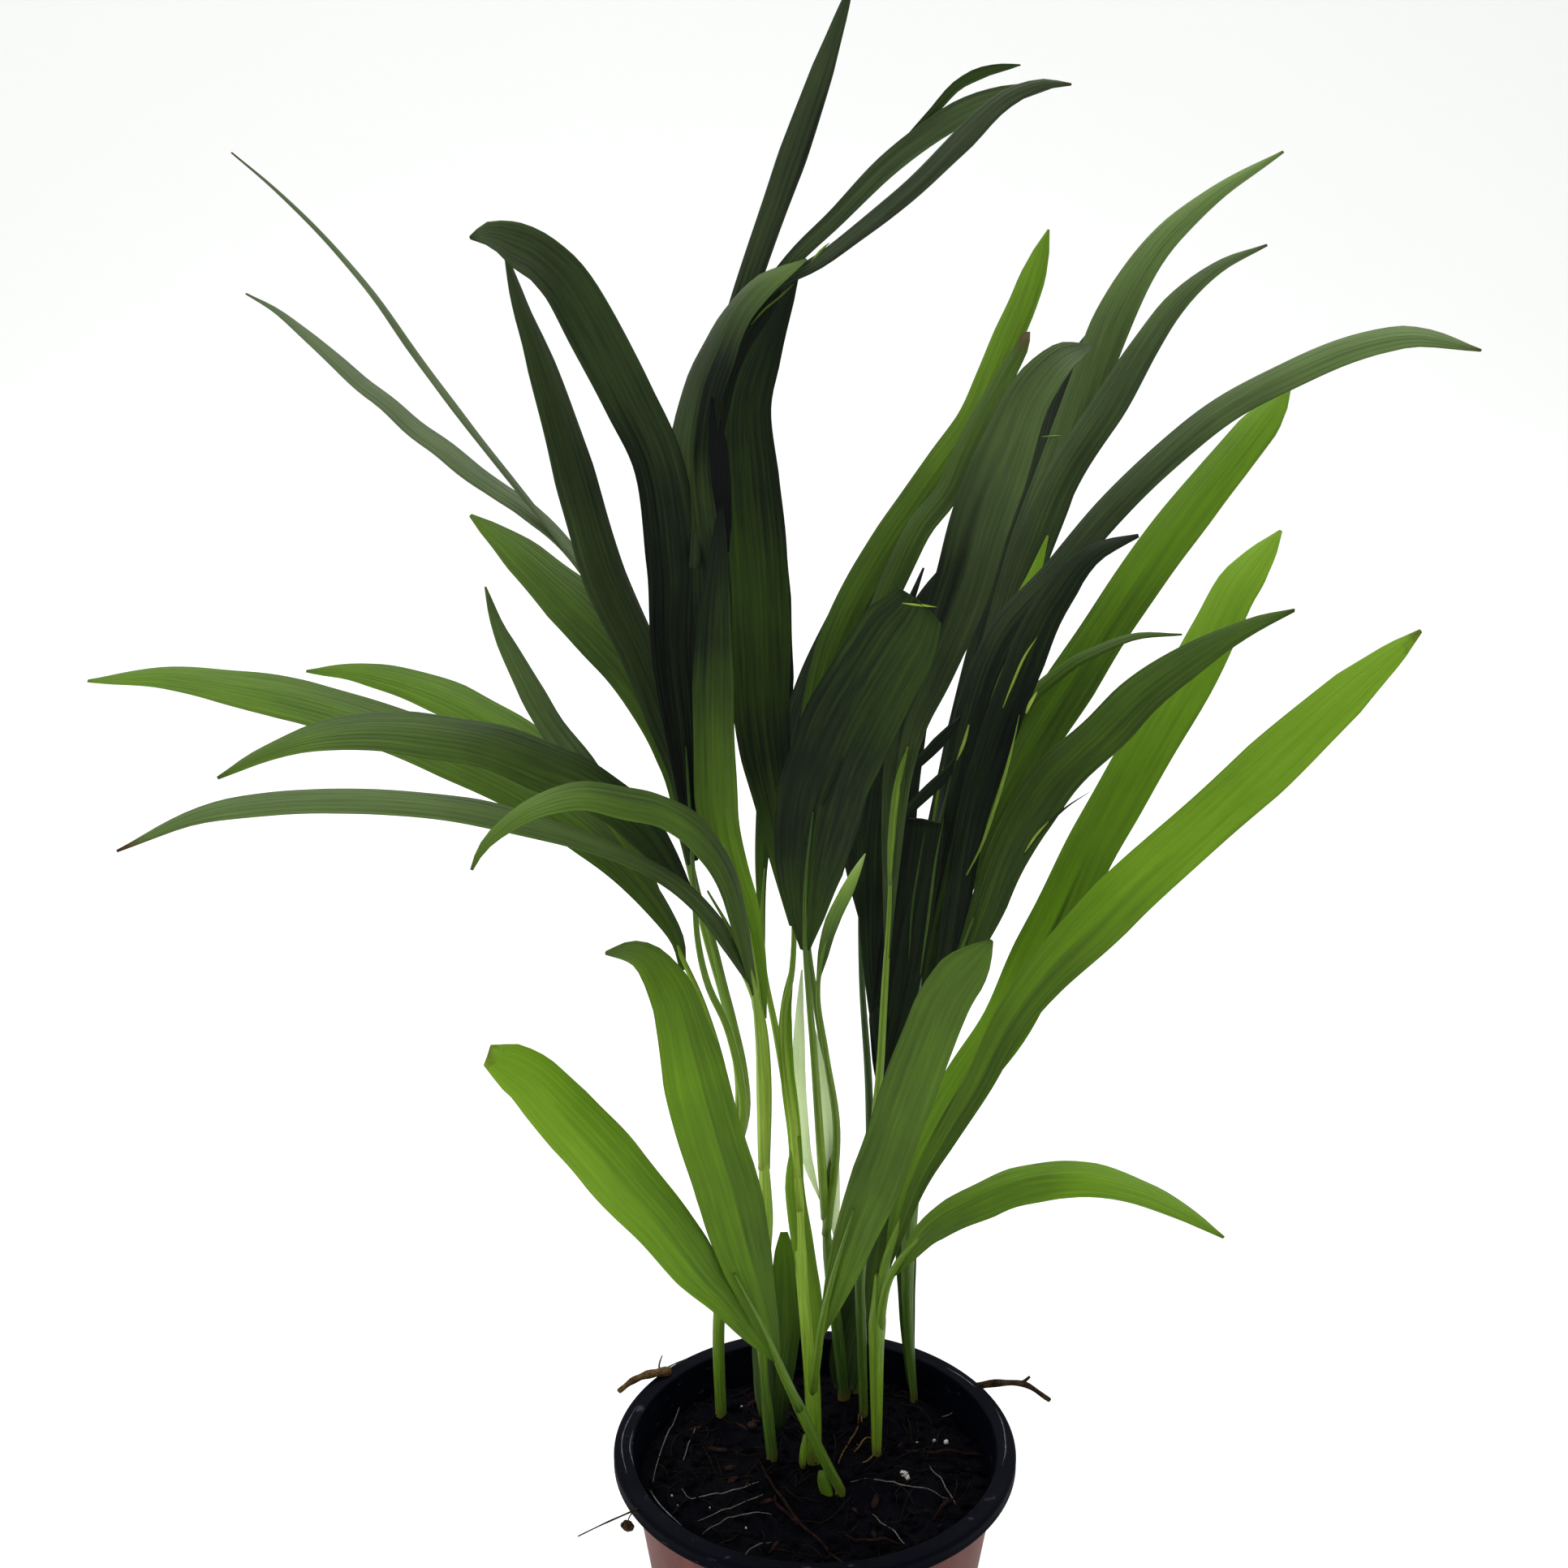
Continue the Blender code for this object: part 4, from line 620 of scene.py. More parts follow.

# %% [markdown]
# ## Sheaths, shoots and bright lines
# Between the stalks hang old papery sheaths, and a few short shoots stand at the feet; dark strips of
# painted shade close gaps between leaves. Midribs and torn edges show as fine pale lines, and fine
# highlights along leaf edges are painted as bright lines. In a finish such lines would blur, so they
# are thin tubes, and only where they show is read: the leaf under each gives its depth.

# %% Sheaths, shoots and bright lines
# Thin leaves of no frond, laid between the stalks and blades: old papery sheaths, dark strips of
# painted shade that close a gap, and a scale at a foot. Each has its tone, how pale it is, and its lobe
SHEATHS_AND_SHADE_STRIPS = {
    "seedling_inner_right": [
        (1.6, 0.9, Lobe(4, (0, 0), (
            (988, 1195, -17), (985, 1260, -18), (985, 1340, -19), (993, 1420, -21), (1010, 1478, -25.5),
        ))),
        (1.7, 0.9, Lobe(6, (0, 0), (
            (1004, 1270, -19), (1012, 1340, -22), (1020, 1410, -25), (1026, 1480, -27), (1030, 1530, -28),
        ))),
    ],
    # Two dark strips of painted shade between the leaves
    "seedling_left": [
        (-0.1, 0, Lobe(5, (0, 0), ((897, 680, 2), (890, 610, 3), (885, 550, 4), (877, 490, 4)))),
        (0.1, 0, Lobe(7, (0, 0), (
            (887, 560, 3), (892, 500, 1), (902, 440, -2), (923, 400, -4), (946, 371, -4), (964, 350, -2),
        ), "joined")),
    ],
    "seedling_front": [
        (0.5, 0, Lobe(4, (20, 20), (
            (1013, 1812, 11), (1015, 1826, 12), (1020, 1842, 12), (1026, 1850, 13),
        ), "sheath")),
    ],
}

# Short side shoots: radius in mm, how lit, and the spots
SHOOTS = {
    "seedling_back": [
        (1.1, 0.55, [
            (1096, 1090, 9), (1098, 1040, 12.5), (1103, 985, 16), (1109, 950, 18), (1119, 920, 20),
        ]),
    ],
    "seedling_centre": [(1.2, 0.5, [(992, 1768, -0.5), (990, 1785, 0), (989, 1800, 0), (989, 1814, -2)])],
}

# Bright midribs and torn veins, and painted highlights along leaf edges: radius in mm, how lit,
# and where each shows as (px, py)
EDGE_HIGHLIGHTS_AND_MIDRIBS = {
    "seedling_right": [
        (0.35, 0.9, [(1236, 872), (1248, 842), (1262, 810), (1280, 782)]),
        (0.4, 0.7, [(1191, 1078), (1210, 1040), (1232, 975), (1247, 921), (1256, 881)]),
        (0.45, 1.0, [(1264, 879), (1270, 865), (1278, 852)]),
        (0.4, 1.0, [(1263, 1050), (1275, 1032), (1292, 1012)]),
        (0.3, 0.0, [(1262, 1053), (1281, 1027), (1311, 997), (1342, 976)]),
    ],
    "seedling_far_right": [(0.45, 1.0, [(1194, 893), (1188, 915), (1179, 937)])],
    # Painted highlights along the edge of a fold
    "seedling_left": [
        (0.25, 0.5, [(925, 400), (941, 382), (960, 366), (978, 350)]),
        (0.3, 0.6, [(1000, 322), (1011, 309), (1022, 299)]),
    ],
    "seedling_back": [
        (0.45, 0.3, [(1134, 1200), (1144, 1130), (1153, 1060), (1163, 1008)]),
        (0.4, 0.22, [(1120, 1180), (1124, 1120), (1133, 1060), (1140, 1025)]),
    ],
    "seedling_far_back": [(0.25, 0.7, [(1284, 538), (1300, 537), (1324, 537)])],
    "seedling_inner_right": [(0.3, 1.0, [(1112, 743), (1128, 745), (1154, 748)])],
}
print("lines:", sum(map(len, EDGE_HIGHLIGHTS_AND_MIDRIBS.values())), "sheaths:", sum(map(len, SHEATHS_AND_SHADE_STRIPS.values())))

# %% [markdown]
# ## Closed skins
# Leaves, stalks, roots and fibres are all long things. Each can be a row of rings, joined ring to ring
# and closed at both ends by a cap. Working out all rings at once as arrays keeps this fast, and a
# closed skin prints and casts shadows as a real thing does, which a single sheet doesn't.

# %% Closed skins
def skins(rings):
    """Rings of points, as (pieces, rows, around, 3), made closed skins. Corner j of row i joins to
    corner j+1 and to row i+1, and the middle of the first and last ring closes each end."""
    pieces, rows, around = rings.shape[:3]
    size = rows * around + 2
    body = rings.reshape(pieces, -1, 3)
    caps = np.stack([rings[:, 0].mean(axis=1), rings[:, -1].mean(axis=1)], axis=1)
    points = np.concatenate([body, caps], axis=1).reshape(-1, 3)
    i, j = np.meshgrid(np.arange(rows - 1), np.arange(around), indexing="ij")
    after = (j + 1) % around
    quads = np.stack([i * around + j, i * around + after, (i + 1) * around + after,
                      (i + 1) * around + j], axis=-1).reshape(-1, 4)
    edge = np.arange(around)
    turn = (edge + 1) % around
    last = (rows - 1) * around
    starts = np.column_stack([np.full(around, size - 2), turn, edge])
    finishes = np.column_stack([np.full(around, size - 1), last + edge, last + turn])
    shift = (np.arange(pieces) * size)[:, None, None]
    quads = (quads[None] + shift).reshape(-1, 4)
    ends = (np.vstack([starts, finishes])[None] + shift).reshape(-1, 3)
    return points, quads.tolist() + ends.tolist()


def on_skin(values):
    """A value per ring corner, as (rows, around), with the mean of each end for its cap."""
    return np.append(values, [values[0].mean(), values[-1].mean()])


tube, _ = skins(np.zeros((1, 3, 8, 3)))
print("a tube of 3 rings with 8 corners has", len(tube), "points")

# %% [markdown]
# ## Putting a piece in place
# A skin becomes a Blender mesh with from_pydata. A number per point, such as how lit a leaf is, goes in
# as an attribute, and the place across and along a blade as a UV map. Each piece then rides on the
# plant, and the part of the imported model that it stands for is hidden. One seedling's leaves are one
# piece.

# %% Putting a piece in place
def put(name, skin, finishes, nodes=(), marks=None, uv=None):
    """The skin's points and faces as a piece that rides on the plant, with a value per point for
    each mark, and the pair of numbers per point as its own UV map."""
    points, faces = skin
    mesh = bpy.data.meshes.new(name)
    mesh.from_pydata(points.tolist(), [], faces)
    for finish in finishes:
        mesh.materials.append(finish)
    for key, values in (marks or {}).items():
        mesh.attributes.new(key, "FLOAT", "POINT").data.foreach_set("value", values.astype(np.float32))
    if uv is not None:
        corners = np.empty(len(mesh.loops), np.int32)
        mesh.loops.foreach_get("vertex_index", corners)
        mesh.uv_layers.new(name="blade").data.foreach_set("uv", uv[corners].astype(np.float32).ravel())
    mesh.shade_smooth()
    piece = bpy.data.objects.new(name, mesh)
    bpy.context.scene.collection.objects.link(piece)
    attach(piece, "root")
    if nodes:
        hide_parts(*nodes)
    print(f"{name}: {len(mesh.vertices)} points, {len(mesh.polygons)} faces")
    return piece


def put_joined(name, parts, finish, node):
    """Many skins as one leafy piece. Each part has its rings, the pair of numbers that its corners
    have across and along it, and a value per corner for each mark."""
    points, faces, uvs, marks = [], [], [], {}
    shift = 0
    for rings, pair, values in parts:
        corners, joined = skins(rings[None])
        points.append(corners)
        faces += [[corner + shift for corner in face] for face in joined]
        shift += len(corners)
        uvs.append(np.column_stack([on_skin(numbers) for numbers in pair]))
        for key, value in values.items():
            marks.setdefault(key, []).append(on_skin(value))
    marks = {key: np.concatenate(values) for key, values in marks.items()}
    put(name, (np.vstack(points), faces), [finish], [node], marks, np.vstack(uvs))


# %% [markdown]
# ## Building finishes
# A finish is a small network of nodes. A helper that adds a node and fills its sockets, with numbers
# or with the output of another node, keeps the networks short enough to read.

# %% Building finishes
def fill(tree, node, **sockets):
    """The node's sockets, each set to a number or joined to another node's output. A socket's name
    has _ for each space, and s0, s1 mean it by its place."""
    for key, value in sockets.items():
        socket = node.inputs[int(key[1:]) if key[1:].isdigit() else key.replace("_", " ")]
        if isinstance(value, bpy.types.NodeSocket):
            tree.links.new(value, socket)
        else:
            socket.default_value = value
    return node


def add(tree, kind, settings=(), **sockets):
    """A new node of this kind, with its settings and its sockets filled."""
    made = tree.nodes.new(kind)
    for key, value in dict(settings).items():
        setattr(made, key, value)
    return fill(tree, made, **sockets)


def sums(tree, operation, first, second=0.0, third=0.0):
    """The output of a Math node."""
    return add(tree, "ShaderNodeMath", {"operation": operation}, s0=first, s1=second, s2=third).outputs[0]


def swayed(tree, base, value, amount):
    """The base + amount * (value - half), for a noise that should add as much as it takes."""
    return sums(tree, "MULTIPLY_ADD", sums(tree, "SUBTRACT", value, 0.5), amount, base)


def risen(tree, value, low, high, most=1.0):
    """0 where the value is under low, `most` where it is over high, and evenly in between."""
    made = add(tree, "ShaderNodeMapRange", Value=value, From_Min=low, From_Max=high, To_Max=most)
    return made.outputs[0]


def ramp(tree, value, stops):
    """Colours blended along a value: stops are (place, linear red, green, blue)."""
    made = add(tree, "ShaderNodeValToRGB", Fac=value)
    stretch = made.color_ramp.elements
    while len(stretch) < len(stops):
        stretch.new(0.5)
    for element, (place, *colour) in zip(stretch, stops):
        element.position = place
        element.color = (*colour, 1)
    return made.outputs[0]


def blend_colours(tree, amount, first, second):
    """The first colour, another node's output or numbers, turned to the second by 0 to 1."""
    first = first if isinstance(first, bpy.types.NodeSocket) else (*first, 1)
    made = add(tree, "ShaderNodeMix", {"data_type": "RGBA"}, s0=amount, s6=first, s7=(*second, 1))
    return made.outputs[2]


def new_finish(name):
    """A new material, its node tree and its Principled shader."""
    finish = bpy.data.materials.new(name)
    finish.use_nodes = True
    return finish, finish.node_tree, finish.node_tree.nodes["Principled BSDF"]


def bumped(tree, shader, height, distance):
    """A Bump node: the height, in shares of the distance in metres, felt by the shader."""
    bump = add(tree, "ShaderNodeBump", Height=height, Distance=distance, Strength=1.0)
    fill(tree, shader, Normal=bump.outputs[0])


# %% [markdown]
# ## What a finish can read
# A pattern needs something to start from: the place on the piece, the piece's own numbers across and
# along, or a value that its points carry. Noise then breaks up what would be too even. Noise drawn out
# along a blade gives the long streaks that leaves and stalks have.

# %% What a finish can read
def own_place(tree):
    """Where a spot lies on the piece itself, in metres."""
    return add(tree, "ShaderNodeTexCoord").outputs["Object"]


def mark(tree, key):
    """The value that the piece holds per point under this key."""
    return add(tree, "ShaderNodeAttribute", {"attribute_name": key}).outputs["Fac"]


def blade_pair(tree):
    """The two numbers of the piece's own UV map: across it and along it."""
    own = add(tree, "ShaderNodeUVMap", {"uv_map": "blade"}).outputs[0]
    parts = add(tree, "ShaderNodeSeparateXYZ", Vector=own)
    return parts.outputs[0], parts.outputs[1]


def noise(tree, vector, scale, detail=3.0, roughness=0.55):
    """The grey value of a Noise Texture."""
    made = add(tree, "ShaderNodeTexNoise", Vector=vector, Scale=scale, Detail=detail, Roughness=roughness)
    return made.outputs[0]


DRAWN_OUT = 0.03


def lengthwise(tree, across, along, scale, detail):
    """Noise drawn out along the piece, which leaves long streaks."""
    drawn = add(tree, "ShaderNodeCombineXYZ", X=across, Y=sums(tree, "MULTIPLY", along, DRAWN_OUT))
    return noise(tree, drawn.outputs[0], scale, detail)


print("noise is drawn out about", round(1 / DRAWN_OUT), "times")

# %% [markdown]
# ## Leaf finish
# A palm leaf has many parallel veins, a satin skin, and lets some light through, so a lobe against the
# light glows yellow-green and one in shade is nearly black-green. Here that glow and shade are painted
# into the colour by the lit value of each point, and a Translucent shader mixed in adds a little real
# glow. The veins follow the blade's own UV map: across the blade and along it, both in mm.

# %% Leaf finish
VEIN_MM = 1.45
FINE_VEIN_MM = 0.5
MOST_LIT = 1.6
# Leaf colours along the lit value, from painted deep shade to painted glow
LEAF_STOPS = (
    (0.0, 0.003, 0.0055, 0.0045), (0.088, 0.013, 0.025, 0.009), (0.2, 0.045, 0.086, 0.012),
    (0.312, 0.094, 0.178, 0.014), (0.438, 0.168, 0.31, 0.016), (0.625, 0.3, 0.48, 0.04),
    (1.0, 0.72, 0.84, 0.46),
)
WILTED = (0.1, 0.05, 0.02)


def glowing(tree, shader, colour, share):
    """The shader mixed with a Translucent one of this colour, so that light comes through."""
    through = add(tree, "ShaderNodeBsdfTranslucent", Color=colour).outputs[0]
    both = add(tree, "ShaderNodeMixShader", Fac=share, s1=shader.outputs[0], s2=through)
    fill(tree, tree.nodes["Material Output"], Surface=both.outputs[0])


def leaf_finish():
    """Colour = ramp(lit + streaks + patches + veins), greyer where pale, turned to brown at the tips."""
    finish, tree, shader = new_finish("palm_leaf")
    across, along = blade_pair(tree)
    place = own_place(tree)
    streaks = lengthwise(tree, sums(tree, "MULTIPLY", across, 0.8), along, 1.0, 2.0)
    patches = noise(tree, place, 28.0, 3.0)
    vein, fine = (sums(tree, "SINE", sums(tree, "MULTIPLY", across, math.tau / apart))
                  for apart in (VEIN_MM, FINE_VEIN_MM))
    value = swayed(tree, swayed(tree, mark(tree, "lit"), streaks, 0.3), patches, 0.22)
    value = sums(tree, "MULTIPLY_ADD", fine, 0.006, sums(tree, "MULTIPLY_ADD", vein, 0.01, value))
    green = ramp(tree, sums(tree, "MULTIPLY", value, 1 / MOST_LIT), LEAF_STOPS)
    vivid = sums(tree, "MULTIPLY_ADD", mark(tree, "pale"), -0.5, 1.0)
    green = add(tree, "ShaderNodeHueSaturation", Saturation=vivid, Color=green).outputs[0]
    spots = noise(tree, place, 420.0, 2.0)
    wilt = risen(tree, sums(tree, "MULTIPLY_ADD", spots, 0.5, mark(tree, "brown")), 0.6, 0.95)
    colour = blend_colours(tree, wilt, green, WILTED)
    rough = sums(tree, "MULTIPLY_ADD", patches, 0.2, 0.4)
    fill(tree, shader, Base_Color=colour, Roughness=rough, Specular_IOR_Level=0.12)
    height = sums(tree, "MULTIPLY_ADD", vein, 0.35, sums(tree, "MULTIPLY", fine, 0.12))
    bumped(tree, shader, sums(tree, "MULTIPLY_ADD", streaks, 0.6, height), 0.00011)
    glow = add(tree, "ShaderNodeHueSaturation", Value=1.5, Saturation=1.1, Color=colour).outputs[0]
    glowing(tree, shader, glow, 0.35)
    return finish


LEAF = leaf_finish()
print("leaf finish:", len(LEAF.node_tree.nodes), "nodes")

# %% [markdown]
# ## Leaf blades
# A blade is a strip that follows its spine. Its section is a low roof, highest along the midrib, folded
# into fine pleats, and a little wavy near its edges. The pleats are real folds in the mesh, so that
# light catches them; only the finest veins are left to the finish. A rib runs down the underside.

# %% Leaf blades
BLADE_THICK = 0.55 * MM
RIDGE = 0.1
ROOF_POWER = 1.3
PLEAT_MM = 4.2
PLEAT_DEPTH = 0.011
EDGE_WAVE = 0.045
BLADE_STEP = 3.2 * MM
NARROW_MM = 8
HALF_COLUMNS = 11
NARROW_HALF_COLUMNS = 5
COLUMNS_SPAN = math.pi / 2 * 0.92
RIB_RISE = 0.55 * MM
RIB_WIDTH = 0.8 * MM
leaf_random = np.random.default_rng(7)


def blade_frame(lobe, step):
    """Row by row: the centre line; the direction across, square to the eye's ray and to the way
    ahead, then turned about the spine; the upward normal; and half the width."""
    centre = flowing(seen(lobe.spine), step)
    ahead = unit(np.gradient(centre, axis=0))
    across = unit(np.cross(centre - EYE, ahead))
    behind = np.cross(ahead, across)
    turn = np.radians(np.linspace(*lobe.turn, len(centre)))[:, None]
    side = across * np.cos(turn) + behind * np.sin(turn)
    normal = np.cross(side, ahead)
    upward = np.sign(normal[:, 2].sum())
    shares, widths = np.transpose(OUTLINES[lobe.outline])
    half = lobe.width * MM / 2 * np.interp(np.linspace(0, 1, len(centre)), shares, widths)
    return centre, side * upward, normal * upward, half


def roof(u):
    """How high the blade's roof is, in shares of the half width: 2 * ridge * (1 - |u|^power)."""
    return 2 * RIDGE * (1 - np.abs(u) ** ROOF_POWER)


def blade_rings(lobe):
    """The blade's closed section, row by row. With u from -1 to 1 across, its middle is at
    half * (roof + pleat cos(pi k u) sqrt(1 - u^2) + edge wave |u|^3), and its two faces lie half
    the thickness * sqrt(1 - u^2) above and below that, with a rib under the middle.
    Also each corner's mm across and along, its share t of the length, and its u."""
    centre, side, normal, half = blade_frame(lobe, BLADE_STEP)
    t = np.linspace(0, 1, len(centre))[:, None]
    half = half[:, None]
    columns = HALF_COLUMNS if lobe.width > NARROW_MM else NARROW_HALF_COLUMNS
    u = np.sin(np.linspace(-1, 1, 2 * columns + 1) * COLUMNS_SPAN) / math.sin(COLUMNS_SPAN)
    u = np.concatenate([u, u[-2:0:-1]])[None]
    inner = np.ones(2 * columns - 1)
    face = np.concatenate([[0], inner, [0], -inner])
    dome = np.sqrt(np.clip(1 - u**2, 0, 1))
    pleats = 2 * max(1, round(lobe.width / PLEAT_MM))
    phases = leaf_random.uniform(0, math.tau, 4)
    wave = np.sin(t * 17 + phases[0]) * 0.6 + np.sin(t * 41 + phases[1]) * 0.4
    wave = wave * np.where(u > 0, 1, -0.7) * np.abs(u) ** 3 * EDGE_WAVE
    depth = PLEAT_DEPTH * np.sin(math.pi * np.clip(t * 1.05, 0, 1)) ** 0.5
    lift = roof(u) + depth * np.cos(math.pi * pleats * u) * dome + wave
    rib = RIB_RISE * (1 - t) ** 0.7 * np.exp(-((u * half / RIB_WIDTH) ** 2))
    rib = np.minimum(rib, half * 0.5)
    rise = half * lift + face * BLADE_THICK / 2 * dome + np.where(face < 0, -rib, -0.4 * rib)
    spread = half * u * (1 + 0.02 * np.sin(t * 23 + phases[2]))
    rings = centre[:, None] + spread[..., None] * side[:, None] + rise[..., None] * normal[:, None]
    along = np.append(0, np.cumsum(np.linalg.norm(np.diff(centre, axis=0), axis=1)))[:, None]
    return rings, (u * lobe.width / 2 + 0 * t, along / MM + 0 * u), t + 0 * u, u + 0 * t


print("a wide blade has", 4 * HALF_COLUMNS, "corners to a ring")

# %% [markdown]
# ## All the leaves
# Each seedling's blades are worked out one after the other and joined. How lit a spot is runs from the
# root's value to the tip's; the midrib glows a little, painted shade darkens a fold and its one side,
# and old tips are brown. These go in as a value per point, which the finish reads.

# %% All the leaves
MIDRIB_GLOW = 0.1
TIP_WEAR = 0.15


def leaves(name, plant):
    """All the blades of one seedling as one piece. The midrib and one side get painted light, a fold and
    the side beyond it get painted shade, and the last tenth of a blade wears to brown."""
    lobes = [lobe for frond in plant.fronds for lobe in frond.lobes]
    greys = [PALE.get(name, {}).get(number, 0) for number in range(len(lobes))]
    looks = list(zip(lobes, LIT[name], greys))
    looks += [(lobe, (tone * 0.8, tone, tone * 0.9), grey) for tone, grey, lobe in SHEATHS_AND_SHADE_STRIPS.get(name, [])]
    parts = []
    for number, (lobe, tones, grey) in enumerate(looks):
        rings, pair, t, u = blade_rings(lobe)
        lit = np.interp(t, np.linspace(0, 1, len(tones)), tones)
        # Painted light: the midrib and the side at negative u a little lighter
        lit = lit + MIDRIB_GLOW * np.exp(-((u * lobe.width / 2.4) ** 2)) * (1 - t) - 0.03 * u
        # Painted shade: a dark line along the fold, and the side beyond it darker
        at, dark, start, end = PAINTED_FOLD_SHADE.get(name, {}).get(number, (0, 0, 0, 1))
        held = np.clip((t - start) / 0.1, 0, 1) * np.clip((end - t) / 0.1, 0, 1)
        lit = lit - dark * held * np.exp(-(((u - at) * lobe.width) ** 2))
        lit = lit - 0.4 * dark * held * (u > at)
        brown = BROWNED.get(name, {}).get(number, TIP_WEAR) * np.clip((t - 0.9) / 0.1, 0, 1) ** 1.5
        parts.append((rings, pair, {"lit": lit, "brown": brown, "pale": grey + 0 * t}))
    put_joined(f"{name}_leaves", parts, LEAF, name)


for name, plant in SEEDLINGS.items():
    leaves(name, plant)

# %% [markdown]
# ## Stalk finish
# The stalks and stems are smooth and yellow-green, lighter or darker by painted light and shade, with
# lengthwise streaks, and stained brown where they leave the soil.

# %% Stalk finish
# Stalk colours along the lit value, from painted shade to painted light
STALK_STOPS = (
    (0.0, 0.012, 0.03, 0.008), (0.25, 0.05, 0.11, 0.014), (0.5, 0.14, 0.26, 0.018),
    (0.75, 0.26, 0.42, 0.03), (1.0, 0.42, 0.6, 0.07),
)
STAINED = (0.13, 0.07, 0.025)


def stalk_finish():
    """Colour = ramp(lit + lengthwise streaks), stained brown near the soil."""
    finish, tree, shader = new_finish("palm_stalk")
    across, along = blade_pair(tree)
    streaks = lengthwise(tree, across, along, 2.2, 3.0)
    green = ramp(tree, swayed(tree, mark(tree, "lit"), streaks, 0.7), STALK_STOPS)
    spots = noise(tree, own_place(tree), 300.0, 3.0)
    stain = risen(tree, sums(tree, "MULTIPLY_ADD", spots, 0.6, mark(tree, "brown")), 0.55, 1.1)
    colour = blend_colours(tree, stain, green, STAINED)
    fill(tree, shader, Base_Color=colour, Roughness=0.4, Specular_IOR_Level=0.3)
    bumped(tree, shader, streaks, 0.0003)
    glowing(tree, shader, colour, 0.2)
    return finish


STALK = stalk_finish()
print("stalk finish:", len(STALK.node_tree.nodes), "nodes")

# %% [markdown]
# ## Stems and stalks
# Each stem is a bundle of leaf bases, wrapped one in the other, so it is thickest at its foot and a
# little flattened. A stalk is grooved along its upper side. Both are tubes: a ring carried along a
# path, whose size changes on the way.

# %% Stems and stalks
ROOT_DEPTH = 12 * MM
COLLAR = 2 * MM
STALK_STEP = 3.5 * MM


def carried(path, radii, around, shape=None):
    """A ring carried along a path: point = path + radius * (cos * side + sin * up), where side is
    square to the path and to a fixed axis far from its direction. A shape scales each angle."""
    ahead = unit(np.gradient(path, axis=0))
    fixed = np.eye(3)[np.argmin(np.abs(path[-1] - path[0]))]
    side = unit(np.cross(fixed, ahead))
    up = np.cross(ahead, side)
    angle = np.linspace(0, math.tau, around, endpoint=False)
    reach = np.asarray(radii)[:, None] * (1 if shape is None else shape(angle)[None])
    ring = np.cos(angle)[None, :, None] * side[:, None] + np.sin(angle)[None, :, None] * up[:, None]
    return path[:, None] + reach[..., None] * ring


def ribbed(angle):
    """An oval with five low ribs: 1 + 0.1 cos 2a + 0.05 cos 5a."""
    return 1 + 0.1 * np.cos(2 * angle) + 0.05 * np.cos(5 * angle)


def stem_path(plant):
    """Straight up out of the soil, then on through the spots that were read."""
    foot = at_height([plant.foot], SOIL_TOP)[0]
    above = flowing(np.vstack([foot + [0, 0, COLLAR], seen(plant.stem)]), STALK_STEP)
    below = foot - np.outer(np.linspace(1, 0.1, 4), [0, 0, ROOT_DEPTH])
    return np.vstack([below, above])


print("each stem goes", round(ROOT_DEPTH / MM), "mm into the soil")

# %% [markdown]
# ## Bright lines on the leaves
# A bright line lies on a leaf, so its depth is the leaf's own. Each blade is spread out as many places
# in the picture, and the line takes its depth from the places under it. A line that is given a guessed
# depth instead would float before the leaf as soon as the plant is seen from the side.

# %% Bright lines on the leaves
COVERED_PX = 4
LINE_LIFT_MM = 0.3


def blade_places(lobe):
    """Places all over a blade, without its pleats, each as (px, py, near) in the picture."""
    centre, side, normal, half = blade_frame(lobe, 0.8 * MM)
    u = np.linspace(-1, 1, 21)[None, :, None]
    half = half[:, None, None]
    places = centre[:, None] + half * u * side[:, None]
    places = (places + half * roof(u) * normal[:, None]).reshape(-1, 3)
    ahead = (places - EYE) @ AHEAD
    px = CENTRE_PX + FOCAL_PX * ((places - EYE) @ RIGHT) / ahead
    py = CENTRE_PX - FOCAL_PX * ((places - EYE) @ ABOVE) / ahead
    return np.column_stack([px, py, -places[:, 1] / MM])


def on_blade(spots, blades):
    """The line laid on the leaf where it shows. Of the blades under it, that is the one nearest to
    the eye, else the closest one in the picture. Its nearness is a parabola along the line."""
    line = flowing(spots, 4)
    t = np.linspace(0, 1, len(line))
    found = []
    for places in blades:
        gaps = np.hypot(*(line[:, None, axis] - places[None, :, axis] for axis in (0, 1)))
        near = places[gaps.argmin(1), 2]
        off = gaps.min(1).mean()
        found.append((off < COVERED_PX, near.mean() if off < COVERED_PX else -off, near))
    near = max(found, key=lambda entry: entry[:2])[2]
    return np.column_stack([line, np.polyval(np.polyfit(t, near, 2), t) + LINE_LIFT_MM])


test_places = blade_places(SEEDLINGS["seedling_front"].fronds[0].lobes[0])
print("a blade is read at", len(test_places), "places")

# %% [markdown]
# ## All the stalks
# The stem, stalks, side shoots and bright lines of one seedling are all tubes of one finish, so they
# are joined into one piece. The stem narrows at its top and is stained brown near the soil, a stalk
# tapers all the way, and a line tapers at both ends.

# %% All the stalks
STEM_PLACES = (0, 0.06, 0.78, 1)
STEM_END = 0.45
STALK_RADII = (1.6 * MM, 1.1 * MM, 0.3 * MM)
LINE_STEP = 1.5 * MM
LINE_SHARES = (0.5, 1, 1, 0.2)
STEM_CORNERS, STALK_CORNERS, LINE_CORNERS = 18, 12, 8
STAIN_HEIGHTS = (SOIL_TOP + 1 * MM, SOIL_TOP + 9 * MM)
STAIN_MOST = 0.55
GIRTH_MM = 12


